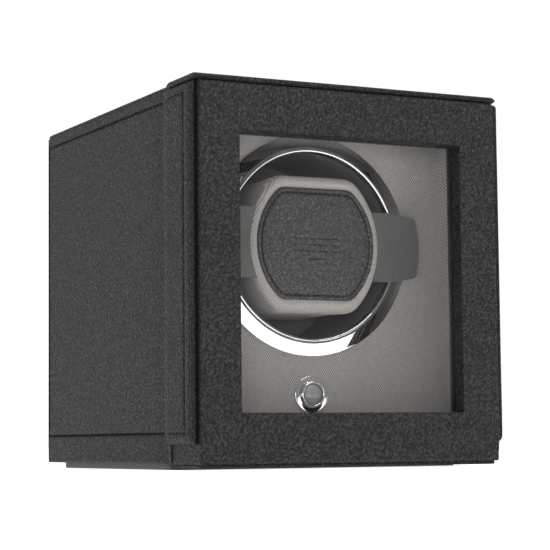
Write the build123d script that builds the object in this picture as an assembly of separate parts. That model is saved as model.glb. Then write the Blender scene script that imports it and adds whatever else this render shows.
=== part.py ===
from build123d import *
import math
import os

# Watch winder box: a leather-covered cabinet with a glazed door hinged on its left side.
# A motor turns a round drum behind the fascia, and a sprung cuff in the drum carries the watch.
# Millimetres. +Z is up and -Y is the front. The origin is under the middle of the box, on the table.
# Depths are counted backwards from the front face.

os.makedirs("parts", exist_ok=True)

# Overall size
WIDTH = 139.7
DEPTH = 165.1
HEIGHT = 152.4
HALF_WIDTH = WIDTH / 2

# Where things stop, as depths behind the front face
SEAM = 27.2
SEAM_GAP = 0.4
PLAY = 0.1
DOOR_REAR = SEAM - SEAM_GAP
CASE_FRONT = SEAM + SEAM_GAP / 2
FASCIA = 38.0

# Sheet and board stock
LEATHER = 0.9
DOOR_LEATHER = 1.2
LINING = 0.4
CLOTH = 0.4
CASE_BOARD = 2.8
DOOR_BOARD = 2.3
END_BOARD = 3.0
FASCIA_BOARD = 3.0

# Cabinet
CASE_HALF = 67.9
CASE_BOARD_HALF = CASE_HALF - LEATHER
INNER_HALF = CASE_BOARD_HALF - CASE_BOARD
BOARD_BOTTOM = 2.6
BOARD_TOP = 149.2
INNER_BOTTOM = BOARD_BOTTOM + END_BOARD
INNER_TOP = BOARD_TOP - END_BOARD
SIDE_LEATHER_TOP = 150.4
SIDE_LEATHER_BOTTOM = 2.4
TOP_PAD_TOP = 151.9
BOARD_REAR = DEPTH - LEATHER
BACK_BOARD_FRONT = BOARD_REAR - CASE_BOARD
BASE_HALF = 65.5
BASE_SPAN = (29.0, 153.0)
BASE_CORNER = 6.0
TOP_PAD_ROLL = 1.2
MAGNET_X = (INNER_HALF + 0.4, INNER_HALF + 2.0)
MAGNET_HEIGHTS = (36.0, 112.0)
MAGNET_TALL = 14.0
MAGNET_DEEP = 3.0

# Door
WINDOW_HALF = 49.8
WINDOW_BOTTOM = 21.8
WINDOW_TOP = 130.5
FACE_HALF = 67.1
FACE_BOTTOM = 2.4
FACE_TOP = 148.8
FACE_CORNER = 5.0
DOOR_THROUGH = (-1.0, 20.0)
DOOR_BOARD_HALF = INNER_HALF + DOOR_BOARD
FRONT_BOARD_REAR = 8.6
GLASS_SPAN = (6.2, 8.6)
GLASS_LAP = 4.4
REBATE_PLAY = 0.3
RETAINER_LAP = 8.0
RETAINER = 1.5
RETAINER_SCREW_INSET = 2.4
RETAINER_SCREW_RISE = 12.0
RETAINER_SCREW_HEAD = (1.7, 0.9)
RETAINER_SCREW_SHANK = (0.8, 5.0)
SIDE_PAD_SPAN = (9.7, 149.2)
PAD_FRONT = 2.0
PAD_ROLL = 2.6
TOP_PAD_SPAN = (149.5, HEIGHT)
TOP_PAD_HALF = 69.0
DOOR_TOP_ROLL = 2.0
BOTTOM_PAD_SPAN = (0.7, 2.3)
HINGE_BEND = 2.0
HINGE_LAP = 4.3

# Drum, turning on an axis along Y
AXIS_Z = 91.2
CUP_INNER = 38.6
CUP_OUTER = 40.6
CUP_SPAN = (38.6, 86.0)
CUP_FLOOR = 3.0
CUP_RAIL_MARGIN = 0.5
RING_LIP = 35.1
RING_BASE = 45.8
RING_BACK = FASCIA - 0.3
HOLE_RADIUS = 42.6
HUB_RADIUS = 8.0
HUB_REAR = 95.6
RAIL_HALF_GAP = 7.4
RAIL = 2.0
RAIL_X = 32.0
RAIL_FRONT = 44.0

# Gear train
MODULE = 0.8
DRUM_TEETH = 60
PINION_TEETH = 12
TOOTH_TIP = 0.9
TOOTH_ROOT = 1.15
TOOTH_ROOT_SHARE = 0.317
TOOTH_TIP_SHARE = 0.114
GEAR_SPREAD = 0.1
CENTRES = MODULE * (DRUM_TEETH + PINION_TEETH) / 2 + GEAR_SPREAD
PINION_Z = AXIS_Z + CENTRES
GEAR_SPAN = (88.0, 92.0)
PINION_SPAN = (87.5, 93.0)
SHAFT_RADIUS = 3.0
SHAFT_SPAN = (84.0, 107.0)
RUNNING = 0.05
PINION_SHAFT = 1.5
PINION_HUB = 3.0
PINION_HUB_REAR = 96.0
BUSH_RADIUS = 5.5
BUSH_FLANGE = 1.1
BUSH_REAR = 104.0
CLIP_RADIUS = 5.6
CLIP_SPAN = (104.4, 105.4)
CLIP_MOUTH = 1.6

# Chassis behind the fascia
PLATE_SPAN = (97.0, 98.5)
PLATE_HALF = 58.0
PLATE_Z = (45.0, 138.0)
POST_X = 52.0
POST_RISE = 40.0
POST_RADIUS = 4.0
POST_SCREW_FRONT = 86.0
POST_SCREW_HEAD = (3.0, 2.0)
MOTOR_SCREW_HEAD = (2.6, 1.6)
MOTOR_SCREW_REAR = 102.0
PINION_HOLE = 4.0
MOTOR_RADIUS = 12.2
GEARBOX_REAR = 112.0
MOTOR_REAR = 137.0
MOTOR_CAP = 1.5
MOTOR_SCREW_SPACING = 17.0

# Cuff
CUFF_HALF_WIDTH = 30.8
CUFF_HALF_HEIGHT = 28.3
CUFF_FLAT = 18.0
CUFF_FRONT = 32.2
SLEEVE_REAR = 66.0
CUFF_BACK_SPAN = (72.0, 78.0)
FACE_PAD_HALF_WIDTH = 27.1
FACE_PAD_HALF_HEIGHT = 23.0
FACE_PAD_FLAT = 16.2
FACE_PAD_FRONT = 31.6
WING_SPAN = (33.0, 34.8)
WING_REACH = 49.5
WING_ROOT = 14.5
WING_TIP = 12.5
WING_SHOULDER = 36.0
WING_CORNER = 2.2
CUFF_CORNER = 3.0
CUFF_BACK_ROLL = 2.0
FACE_PAD_CORNER = 2.5
CORE_HALF = 18.0
CORE_REAR = 64.0
CUFF_PIN_RADIUS = 1.5
CUFF_PIN_RISE = 10.0
CUFF_PIN_FRONT = 52.0
CUFF_SPRING_RADIUS = 3.2
CUFF_SPRING_WIRE = 0.6
CUFF_SPRING_TURNS = 4
SPRING_END_GAP = 0.4
TONGUE_X = (31.3, 34.4)
TONGUE_HALF = 7.0
TONGUE_REAR = 72.0
WEB_REAR = 38.0

# Push button under the drum
BUTTON_Z = 29.8
BUTTON_FLANGE = 7.7
BUTTON_RING = 5.4
BUTTON_BORE = 4.3
BUTTON_BARREL = 6.0
BUTTON_FRONT = 35.4
BUTTON_SHOULDER = 38.6
BUTTON_END = 47.0
BUTTON_WALL = 0.8
BUTTON_STEM = 2.0
BUTTON_STEM_END = 49.8
LENS_FRONT = 34.7
LENS_COLLAR = 4.9
LENS_COLLAR_SPAN = (38.9, 40.2)
BUTTON_NUT_RADIUS = 8.6
BUTTON_NUT = 3.0
BUTTON_SPRING_RADIUS = 3.9
BUTTON_SPRING_WIRE = 0.5
BUTTON_SPRING_TURNS = 4
BUTTON_SPRING_SPAN = (40.7, 45.7)

# Control board
BOARD_SPAN = (56.0, 57.6)
BOARD_HALF = 27.0
BOARD_Z = (12.0, 44.0)
SPACER_RADIUS = 2.6
SPACER_X = 23.0
SPACER_Z = (16.0, 40.0)
PLUNGER_SPAN = (51.4, 52.6)
PLUNGER_RADIUS = 1.6
HEADER_TALL = 7.0
HEADER_Z = 16.8

# Back of the cabinet
REAR_PLATE_HALF = 24.0
REAR_PLATE_Z = (92.0, 112.0)
REAR_PLATE_SPAN = (163.3, DEPTH)
REAR_PLATE_LAP = (4.0, 2.5)
JACK_X = -11.0
JACK_HALF = 6.0
JACK_FRONT = 149.0
JACK_NOSE = 4.5
JACK_BORE = 2.8
JACK_BORE_DEEP = 10.0
JACK_PIN = 1.0
SWITCH_X = 11.0
SWITCH_SPAN = (151.0, 161.0)
SWITCH_HALF = 7.0
SWITCH_HALF_HEIGHT = 3.6
SWITCH_EAR = 10.0
SWITCH_SLOT = (5.4, 1.8)
SLIDER_FOOT = (2.8, 2.6)
SLIDER_TIP = (1.9, 1.5)
SOCKET_Z = 102.0
BAY_HALF = 36.5
BAY_Z = (8.2, 50.8)
BAY_FRONT = 120.0
BAY_WALL = 1.6
BAY_INNER_X = (-34.5, 32.1)
BAY_FRAME_HALF = 39.0
BAY_FRAME_Z = (7.6, 51.4)
BAY_DOOR_HALF = 35.4
BAY_DOOR_TOP = 49.0
BAY_DOOR_THICK = 2.2
BAY_HINGE_Z = 11.7
BAY_PIN = 0.8
BAY_PIN_REACH = 1.8
BAY_PLAY = 0.4
BAY_PIN_PLAY = 0.08
BAY_THUMB_NOTCH = 5.0
CELL_RADIUS = 17.1
CELL_HALF = 30.0
CELL_NIPPLE = (4.6, 1.5)
CELL_Z = 29.0
CELL_DEPTH = 142.0
CONTACT_HALF = 9.0
CONTACT_COIL_RADIUS = 6.0
CONTACT_COIL_WIRE = 0.9
CONTACT_COIL_LENGTH = 3.5


def at_depth(depth):
    """The y of the plane that lies this far behind the front face."""
    return depth - DEPTH / 2


def block(x_span, depth_span, z_span):
    """A box between two x values, two depths and two heights."""
    low = Vector(x_span[0], at_depth(depth_span[0]), z_span[0])
    high = Vector(x_span[1], at_depth(depth_span[1]), z_span[1])
    size = high - low
    middle = (low + high) / 2
    return Pos(middle.X, middle.Y, middle.Z) * Box(size.X, size.Y, size.Z)


def centred(half, depth_span, z_span):
    """A box centred on x = 0."""
    return block((-half, half), depth_span, z_span)


def rod(radius, depth_span, x=0.0, z=0.0):
    """A round bar along Y between two depths."""
    start, end = depth_span
    return Pos(x, at_depth((start + end) / 2), z) * Rot(90, 0, 0) * Cylinder(radius, end - start)


def cross_rod(radius, x_span, depth, z):
    """A round bar along X between two x values."""
    start, end = x_span
    return Pos((start + end) / 2, at_depth(depth), z) * Rot(0, 90, 0) * Cylinder(radius, end - start)


def plate(outline, depth_span, x=0.0, z=0.0):
    """An outline drawn with x to the right and z up, as thick as the span between two depths."""
    start, end = depth_span
    rear = Plane(origin=(x, at_depth(end), z), x_dir=(1, 0, 0), z_dir=(0, -1, 0))
    return extrude(rear * outline, end - start)


def turned(profile, x=0.0, z=0.0):
    """A profile of (radius, depth) points turned about an axis along Y."""
    points = [(radius, at_depth(depth)) for radius, depth in profile]
    face = make_face(Polyline(*points, close=True))
    return Pos(x, 0, z) * revolve(face, Axis.Y)


def rectangle(x_span, z_span, corner=0.0):
    """A rectangle between two x values and two heights, with round corners if asked."""
    width = x_span[1] - x_span[0]
    height = z_span[1] - z_span[0]
    shape = RectangleRounded(width, height, corner) if corner else Rectangle(width, height)
    return Pos((x_span[0] + x_span[1]) / 2, (z_span[0] + z_span[1]) / 2) * shape


def tube_frame(outer_half, outer_z, inset, depth_span):
    """A rectangular ring round the inside of the box, as thick as the inset."""
    outside = centred(outer_half, depth_span, outer_z)
    inside_z = (outer_z[0] + inset, outer_z[1] - inset)
    return outside - centred(outer_half - inset, (depth_span[0] - 1, depth_span[1] + 1), inside_z)


def window(grow, depth_span):
    """The window's opening, larger by grow on every side."""
    return centred(WINDOW_HALF + grow, depth_span, (WINDOW_BOTTOM - grow, WINDOW_TOP + grow))


def coil(mean_radius, wire, start, direction, length, turns):
    """A helical spring from a start point along a direction."""
    path = Helix(length / turns, length, mean_radius, center=start, direction=direction)
    section = Plane(origin=path @ 0, z_dir=path % 0) * Circle(wire / 2)
    return sweep(section, path=path, is_frenet=True)


def lead(points, radius=0.7, bend=4.0):
    """An insulated wire along a route of (x, depth, z) points, with round bends."""
    route = [(x, at_depth(depth), z) for x, depth, z in points]
    path = FilletPolyline(*route, radius=bend)
    section = Plane(origin=path @ 0, z_dir=path % 0) * Circle(radius)
    return sweep(section, path=path)


def screw(head_radius, head, shank_radius, depth_span, x, z):
    """A pan-head screw along Y, with its head at the rear end of the span."""
    start, end = depth_span
    return rod(head_radius, (end - head, end), x, z) + rod(shank_radius, (start, end - head), x, z)


def save(name, shape):
    """Write one node. A list becomes a group of separate solids."""
    solids = shape if isinstance(shape, list) else [shape]
    whole = Compound(children=[s for item in solids for s in item.solids()])
    export_step(whole if len(whole.solids()) > 1 else whole.solids()[0], f"parts/{name}.step")


# Cabinet

def rear_cutouts():
    """What is cut through the back board and its leather."""
    through = (BACK_BOARD_FRONT - 1, DEPTH + 1)
    side_lap, end_lap = REAR_PLATE_LAP
    bay = centred(BAY_FRAME_HALF, through, BAY_FRAME_Z)
    seat = centred(REAR_PLATE_HALF, (REAR_PLATE_SPAN[0], through[1]), REAR_PLATE_Z)
    hole_z = (REAR_PLATE_Z[0] + end_lap, REAR_PLATE_Z[1] - end_lap)
    return bay + seat + centred(REAR_PLATE_HALF - side_lap, through, hole_z)


def make_magnets(depth_span):
    """A pair of bar magnets let into the meeting edge of a right-hand board."""
    return [block(MAGNET_X, depth_span, (z, z + MAGNET_TALL)) for z in MAGNET_HEIGHTS]


def make_cabinet(magnets):
    boards = (CASE_FRONT, BOARD_REAR)
    left_board = block((-CASE_BOARD_HALF, -INNER_HALF), boards, (BOARD_BOTTOM, BOARD_TOP))
    right_board = block((INNER_HALF, CASE_BOARD_HALF), boards, (BOARD_BOTTOM, BOARD_TOP))
    right_board -= Compound(children=magnets)
    save("case_side_boards", [left_board, right_board])
    for side, name in ((-1, "left"), (1, "right")):
        skin_x = sorted((side * CASE_BOARD_HALF, side * CASE_HALF))
        skin = block(skin_x, (CASE_FRONT, DEPTH), (SIDE_LEATHER_BOTTOM, SIDE_LEATHER_TOP))
        save(f"case_{name}_leather", skin)
    ends = ((BOARD_BOTTOM, INNER_BOTTOM), (INNER_TOP, BOARD_TOP))
    save("case_end_boards", [centred(INNER_HALF, boards, z_span) for z_span in ends])
    back = centred(INNER_HALF, (BACK_BOARD_FRONT, BOARD_REAR), (INNER_BOTTOM, INNER_TOP))
    save("case_back_board", back - rear_cutouts())
    back_skin = centred(CASE_BOARD_HALF, (BOARD_REAR, DEPTH), (SIDE_LEATHER_BOTTOM, BOARD_TOP))
    save("case_back_leather", back_skin - rear_cutouts())
    top = centred(CASE_BOARD_HALF, (CASE_FRONT, DEPTH), (BOARD_TOP, TOP_PAD_TOP))
    save("case_top_pad", fillet(top.edges().group_by(Axis.Z)[-1], TOP_PAD_ROLL))
    save("case_lining", tube_frame(INNER_HALF, (INNER_BOTTOM, INNER_TOP), LINING, (CASE_FRONT, FASCIA)))
    base = RectangleRounded(2 * BASE_HALF, BASE_SPAN[1] - BASE_SPAN[0], BASE_CORNER)
    middle = at_depth((BASE_SPAN[0] + BASE_SPAN[1]) / 2)
    save("base_pad", extrude(Pos(0, middle, 0) * base, BOARD_BOTTOM))
    save("case_magnets", magnets)


def make_fascia():
    """The cloth-covered panel that the drum and the button stand in."""
    z_span = (INNER_BOTTOM + PLAY, INNER_TOP - PLAY)
    half = INNER_HALF - PLAY
    board_span = (FASCIA + CLOTH, FASCIA + CLOTH + FASCIA_BOARD)
    through = (FASCIA - 1, board_span[1] + 1)
    openings = rod(HOLE_RADIUS, through, 0, AXIS_Z) + rod(BUTTON_BARREL, through, 0, BUTTON_Z)
    save("fascia_cloth", centred(half, (FASCIA, board_span[0]), z_span) - openings)
    save("fascia_board", centred(half, board_span, z_span) - openings)
    return board_span[1]


# Door

def make_retainer_screws():
    """Small screws round the glass retainer."""
    out = RETAINER_LAP - RETAINER_SCREW_INSET
    middle = (WINDOW_BOTTOM + WINDOW_TOP) / 2
    rows = (WINDOW_BOTTOM + RETAINER_SCREW_RISE, middle, WINDOW_TOP - RETAINER_SCREW_RISE)
    places = [(side * (WINDOW_HALF + out), z) for side in (-1, 1) for z in rows]
    places += [(0, WINDOW_BOTTOM - out), (0, WINDOW_TOP + out)]
    rear = FRONT_BOARD_REAR + RETAINER
    head_radius, head = RETAINER_SCREW_HEAD
    shank_radius, shank = RETAINER_SCREW_SHANK
    return [screw(head_radius, head, shank_radius, (rear - shank, rear + head), x, z) for x, z in places]


def make_face_leather():
    outline = rectangle((-FACE_HALF, FACE_HALF), (FACE_BOTTOM, FACE_TOP))
    low_corners = outline.vertices().group_by(Axis.Y)[0]
    outline = fillet(low_corners, FACE_CORNER)
    sheet = plate(outline, (0, DOOR_LEATHER)) - window(0, DOOR_THROUGH)
    jamb = window(LEATHER, (DOOR_LEATHER, GLASS_SPAN[0])) - window(0, DOOR_THROUGH)
    return sheet + jamb


def side_pad(side):
    """A leather-covered strip on the side of the door, rolled at its front edge and lower end."""
    x_span = sorted((side * DOOR_BOARD_HALF, side * HALF_WIDTH))
    pad = block(x_span, (PAD_FRONT, DOOR_REAR), SIDE_PAD_SPAN)
    outer = pad.edges().filter_by(Axis.Z).group_by(Axis.Y)[0].sort_by(Axis.X)
    pad = fillet(outer[0] if side < 0 else outer[-1], PAD_ROLL)
    foot = pad.edges().filter_by(Axis.Y).group_by(Axis.Z)[0].sort_by(Axis.X)
    return fillet(foot[0] if side < 0 else foot[-1], PAD_ROLL)


def make_door(magnets):
    screws = make_retainer_screws()
    all_screws = Compound(children=screws)
    board_z = (BOARD_BOTTOM, BOARD_TOP)
    front = centred(DOOR_BOARD_HALF, (DOOR_LEATHER, FRONT_BOARD_REAR), board_z)
    front -= window(LEATHER, DOOR_THROUGH)
    front -= window(GLASS_LAP + REBATE_PLAY, (GLASS_SPAN[0], FRONT_BOARD_REAR))
    save("door_front_board", front - all_screws)
    save("door_face_leather", make_face_leather())
    save("glass_pane", window(GLASS_LAP, GLASS_SPAN))
    ring = window(RETAINER_LAP, (FRONT_BOARD_REAR, FRONT_BOARD_REAR + RETAINER)) - window(0, DOOR_THROUGH)
    save("glass_retainer", ring - all_screws)
    save("retainer_screws", screws)

    depths = (FRONT_BOARD_REAR, DOOR_REAR)
    rails = [block((-DOOR_BOARD_HALF, -INNER_HALF), depths, board_z)]
    rails += [block((INNER_HALF, DOOR_BOARD_HALF), depths, board_z) - Compound(children=magnets)]
    rails += [centred(INNER_HALF, depths, (BOARD_BOTTOM, INNER_BOTTOM))]
    rails += [centred(INNER_HALF, depths, (INNER_TOP, BOARD_TOP))]
    save("door_rails", rails)
    save("door_magnets", magnets)

    save("door_left_pad", side_pad(-1))
    save("door_right_pad", side_pad(1))
    top = centred(TOP_PAD_HALF, (PAD_FRONT, DOOR_REAR), TOP_PAD_SPAN)
    save("door_top_pad", fillet(top.edges().group_by(Axis.Z)[-1], DOOR_TOP_ROLL))
    save("door_bottom_pad", centred(DOOR_BOARD_HALF, (PAD_FRONT, DOOR_REAR), BOTTOM_PAD_SPAN))

    lining = tube_frame(INNER_HALF, (INNER_BOTTOM, INNER_TOP), LINING, depths)
    facing = centred(INNER_HALF, (depths[0], depths[0] + LINING), (INNER_BOTTOM, INNER_TOP))
    facing -= window(RETAINER_LAP + PLAY, DOOR_THROUGH)
    save("door_lining", lining + facing)
    save("hinge_leather", make_hinge_leather())


def make_hinge_leather():
    """The leather that bridges the step from the door's side pad down to the cabinet's side."""
    near = DOOR_REAR + RUNNING
    skin = -CASE_HALF - RUNNING
    outer = -HALF_WIDTH + PLAY
    points = [(outer, near), (outer + LEATHER, near), (skin, near + HINGE_BEND), (skin, near + HINGE_LAP)]
    face = make_face(Polyline(*[(x, at_depth(depth)) for x, depth in points], close=True))
    foot = SIDE_PAD_SPAN[0] + PAD_ROLL
    return extrude(Pos(0, 0, foot) * face, SIDE_PAD_SPAN[1] - foot)


# Drum and gear train

def make_drum_ring():
    """The bright ring round the mouth of the cup: a thin bead, then a slope down to the fascia."""
    profile = [
        (CUP_INNER, RING_LIP + 0.8),
        (CUP_INNER + 0.4, RING_LIP + 0.2),
        (CUP_INNER + 1.0, RING_LIP),
        (CUP_INNER + 1.6, RING_LIP + 0.15),
        (CUP_INNER + 2.0, RING_LIP + 0.6),
        (CUP_INNER + 2.3, RING_LIP + 0.45),
        (RING_BASE - 0.4, RING_BACK - 0.4),
        (RING_BASE, RING_BACK - 0.1),
        (RING_BASE, RING_BACK),
        (CUP_OUTER, RING_BACK),
        (CUP_OUTER, CUP_SPAN[0]),
        (CUP_INNER, CUP_SPAN[0]),
    ]
    return turned(profile, 0, AXIS_Z)


def make_cup(shaft):
    """The drum's cup, with rails in its sides that guide the cuff, and a hub on its floor."""
    wall = rod(CUP_OUTER, CUP_SPAN, 0, AXIS_Z)
    wall -= rod(CUP_INNER, (CUP_SPAN[0] - 1, CUP_SPAN[1] - CUP_FLOOR), 0, AXIS_Z)
    hub = rod(HUB_RADIUS, (CUP_SPAN[1], HUB_REAR), 0, AXIS_Z)
    rails = []
    for side in (-1, 1):
        for rise in (-1, 1):
            x_span = sorted((side * RAIL_X, side * (CUP_INNER + 1)))
            z_span = sorted((AXIS_Z + rise * RAIL_HALF_GAP, AXIS_Z + rise * (RAIL_HALF_GAP + RAIL)))
            rails.append(block(x_span, (RAIL_FRONT, CUP_SPAN[1] - CUP_FLOOR + 1), z_span))
    bounds = rod(CUP_OUTER - CUP_RAIL_MARGIN, (RAIL_FRONT, CUP_SPAN[1] - 1), 0, AXIS_Z)
    cup = wall + hub
    for rail in rails:
        cup += rail & bounds
    return cup - shaft


def gear_outline(teeth, first_tooth):
    """A spur gear with straight-flanked teeth, one of them centred on the angle first_tooth in degrees."""
    pitch_radius = MODULE * teeth / 2
    tip = pitch_radius + TOOTH_TIP * MODULE
    root = pitch_radius - TOOTH_ROOT * MODULE
    step = 2 * math.pi / teeth
    root_half = step * TOOTH_ROOT_SHARE
    tip_half = step * TOOTH_TIP_SHARE
    points = []
    for tooth in range(teeth):
        middle = math.radians(first_tooth) + tooth * step
        corners = ((root, -root_half), (tip, -tip_half), (tip, tip_half), (root, root_half))
        points += [(r * math.cos(middle + a), r * math.sin(middle + a)) for r, a in corners]
    return make_face(Polyline(*points, close=True))


def make_drive():
    shaft = rod(SHAFT_RADIUS, SHAFT_SPAN, 0, AXIS_Z)
    save("rotor_shaft", shaft)
    save("drum_cup", make_cup(shaft))
    save("drum_ring", make_drum_ring())
    half_step = 180 / DRUM_TEETH
    wheel = plate(gear_outline(DRUM_TEETH, 90 + half_step), GEAR_SPAN, 0, AXIS_Z)
    save("drum_gear", wheel - rod(HUB_RADIUS, GEAR_SPAN, 0, AXIS_Z))
    clip = rod(CLIP_RADIUS, CLIP_SPAN, 0, AXIS_Z) - shaft
    save("shaft_clip", clip - centred(CLIP_MOUTH, CLIP_SPAN, (AXIS_Z - CLIP_RADIUS, AXIS_Z)))

    bush = rod(HUB_RADIUS, (PLATE_SPAN[0] - BUSH_FLANGE, PLATE_SPAN[0]), 0, AXIS_Z)
    bush += rod(BUSH_RADIUS, (PLATE_SPAN[0], BUSH_REAR), 0, AXIS_Z)
    save("rotor_bush", bush - rod(SHAFT_RADIUS + RUNNING, SHAFT_SPAN, 0, AXIS_Z))

    pinion_shaft = rod(PINION_SHAFT, (PINION_SPAN[0], BUSH_REAR), 0, PINION_Z)
    save("motor_shaft", pinion_shaft)
    pinion = plate(gear_outline(PINION_TEETH, -90), PINION_SPAN, 0, PINION_Z)
    pinion += rod(PINION_HUB, (PINION_SPAN[1], PINION_HUB_REAR), 0, PINION_Z)
    save("pinion", pinion - pinion_shaft)


def make_chassis(fascia_rear):
    """Posts behind the fascia carry a steel plate, and the plate carries the drum and the motor."""
    screws = []
    posts = []
    for side in (-1, 1):
        for rise in (-1, 1):
            x = side * POST_X
            z = AXIS_Z + rise * POST_RISE
            head_radius, head = POST_SCREW_HEAD
            fixing = screw(head_radius, head, PINION_SHAFT, (POST_SCREW_FRONT, PLATE_SPAN[1] + head), x, z)
            screws.append(fixing)
            posts.append(rod(POST_RADIUS, (fascia_rear, PLATE_SPAN[0]), x, z) - fixing)
    for side in (-1, 1):
        x = side * MOTOR_SCREW_SPACING / 2
        head_radius, head = MOTOR_SCREW_HEAD
        fixing = rod(head_radius, (PLATE_SPAN[0] - head, PLATE_SPAN[0]), x, PINION_Z)
        screws.append(fixing + rod(PINION_SHAFT, (PLATE_SPAN[0], MOTOR_SCREW_REAR), x, PINION_Z))
    metal = centred(PLATE_HALF, PLATE_SPAN, PLATE_Z) - Compound(children=screws)
    metal -= rod(BUSH_RADIUS, PLATE_SPAN, 0, AXIS_Z)
    metal -= rod(PINION_HOLE, PLATE_SPAN, 0, PINION_Z)
    save("motor_plate", metal)
    save("chassis_posts", posts)
    save("chassis_screws", screws)

    gearbox = rod(MOTOR_RADIUS, (PLATE_SPAN[1], GEARBOX_REAR), 0, PINION_Z)
    gearbox -= Compound(children=screws)
    gearbox -= rod(PINION_SHAFT + RUNNING, (PLATE_SPAN[1], BUSH_REAR + 0.4), 0, PINION_Z)
    can = rod(MOTOR_RADIUS - 0.6, (GEARBOX_REAR, MOTOR_REAR - MOTOR_CAP), 0, PINION_Z)
    can += rod(MOTOR_RADIUS / 3, (MOTOR_REAR - MOTOR_CAP, MOTOR_REAR), 0, PINION_Z)
    save("gear_motor", [gearbox, can])


# Cuff

def cuff_outline(half_width, half_height, flat, corner):
    """Flat at the top and bottom, and bowed out at the sides."""
    top = Line((-flat, half_height), (flat, half_height))
    right = ThreePointArc((flat, half_height), (half_width, 0), (flat, -half_height))
    bottom = Line((flat, -half_height), (-flat, -half_height))
    left = ThreePointArc((-flat, -half_height), (-half_width, 0), (-flat, half_height))
    face = make_face([top, right, bottom, left])
    return fillet(face.vertices(), corner)


def wing_outline():
    """A bar right across the drum, whose ends follow its rim."""
    reach = math.sqrt(WING_REACH**2 - WING_TIP**2)
    edges = []
    for side in (-1, 1):
        tip = side * reach
        edges.append(ThreePointArc((tip, WING_TIP), (side * WING_REACH, 0), (tip, -WING_TIP)))
        root = (WING_SHOULDER, side * WING_ROOT)
        far_root = (-WING_SHOULDER, side * WING_ROOT)
        edges.append(Polyline((-reach, side * WING_TIP), far_root, root, (reach, side * WING_TIP)))
    face = make_face(edges)
    tips = [v for v in face.vertices() if abs(v.X) > WING_SHOULDER + 1]
    return fillet(tips, WING_CORNER)


def make_cuff_core():
    """A block inside the cuff, with an arm to each side that ends in a tongue between the cup's rails."""
    tongue_z = (AXIS_Z - TONGUE_HALF, AXIS_Z + TONGUE_HALF)
    core = centred(CORE_HALF, (WING_SPAN[1], CORE_REAR), (AXIS_Z - CORE_HALF, AXIS_Z + CORE_HALF))
    core += centred(TONGUE_X[1], (WING_SPAN[1], WEB_REAR), tongue_z)
    for side in (-1, 1):
        core += block(sorted((side * TONGUE_X[0], side * TONGUE_X[1])), (WING_SPAN[1], TONGUE_REAR), tongue_z)
    return core


def make_cuff():
    bar = plate(wing_outline(), WING_SPAN, 0, AXIS_Z)
    core = make_cuff_core()
    pins = []
    springs = []
    spring_start = CORE_REAR + SPRING_END_GAP
    spring_length = CUFF_BACK_SPAN[0] - SPRING_END_GAP - spring_start
    for rise in (-1, 1):
        z = AXIS_Z + rise * CUFF_PIN_RISE
        pins.append(rod(CUFF_PIN_RADIUS, (CUFF_PIN_FRONT, CUFF_BACK_SPAN[1] - 1.5), 0, z))
        core -= rod(CUFF_PIN_RADIUS + RUNNING, (CUFF_PIN_FRONT - 7, CORE_REAR + 1), 0, z)
        start = (0, at_depth(spring_start), z)
        size = (CUFF_SPRING_RADIUS, CUFF_SPRING_WIRE)
        springs.append(coil(*size, start, (0, 1, 0), spring_length, CUFF_SPRING_TURNS))

    outline = cuff_outline(CUFF_HALF_WIDTH, CUFF_HALF_HEIGHT, CUFF_FLAT, CUFF_CORNER)
    sleeve = plate(outline, (CUFF_FRONT, SLEEVE_REAR), 0, AXIS_Z)
    sleeve = fillet(sleeve.edges().group_by(Axis.Y)[0], CUFF_CORNER)
    block_hole = centred(CORE_HALF, (WING_SPAN[0], SLEEVE_REAR), (AXIS_Z - CORE_HALF, AXIS_Z + CORE_HALF))
    back = plate(outline, CUFF_BACK_SPAN, 0, AXIS_Z)
    back = fillet(back.edges().group_by(Axis.Y)[-1], CUFF_BACK_ROLL)
    patch = cuff_outline(FACE_PAD_HALF_WIDTH, FACE_PAD_HALF_HEIGHT, FACE_PAD_FLAT, FACE_PAD_CORNER)
    save("cuff_bar", bar)
    save("cuff_core", core)
    save("cuff_sleeve", sleeve - bar - core - block_hole)
    save("cuff_face_leather", plate(patch, (FACE_PAD_FRONT, CUFF_FRONT), 0, AXIS_Z))
    save("cuff_back_pad", back - Compound(children=pins))
    save("cuff_pins", pins)
    save("cuff_springs", springs)


# Button

def make_bezel():
    """A flange with a raised ring on it, and a barrel through the fascia with an inward lip at its end."""
    bore = BUTTON_BARREL - BUTTON_WALL
    floor = BUTTON_END - BUTTON_WALL
    stem_hole = BUTTON_STEM + 0.6
    profile = [
        (BUTTON_BORE, BUTTON_FRONT + 0.3),
        (BUTTON_BORE + 0.3, BUTTON_FRONT),
        (BUTTON_RING - 0.3, BUTTON_FRONT),
        (BUTTON_RING, BUTTON_FRONT + 0.3),
        (BUTTON_RING, BUTTON_FRONT + 1.1),
        (BUTTON_FLANGE - 0.9, FASCIA - 0.9),
        (BUTTON_FLANGE, FASCIA - 0.4),
        (BUTTON_FLANGE, FASCIA),
        (BUTTON_BARREL, FASCIA),
        (BUTTON_BARREL, BUTTON_END),
        (stem_hole, BUTTON_END),
        (stem_hole, floor),
        (bore, floor),
        (bore, BUTTON_SHOULDER),
        (BUTTON_BORE, BUTTON_SHOULDER),
    ]
    return turned(profile, 0, BUTTON_Z)


def make_lens():
    """A domed lens with a collar that keeps it in the bezel, and a stem that works the switch."""
    radius = BUTTON_BORE - PLAY
    front, rear = LENS_COLLAR_SPAN
    profile = [
        (0, LENS_FRONT),
        (1.6, LENS_FRONT + 0.15),
        (2.9, LENS_FRONT + 0.5),
        (3.8, LENS_FRONT + 1.05),
        (radius, LENS_FRONT + 1.6),
        (radius, front),
        (LENS_COLLAR, front),
        (LENS_COLLAR, rear),
        (BUTTON_STEM, rear),
        (BUTTON_STEM, BUTTON_STEM_END),
        (0, BUTTON_STEM_END),
    ]
    return turned(profile, 0, BUTTON_Z)


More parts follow.
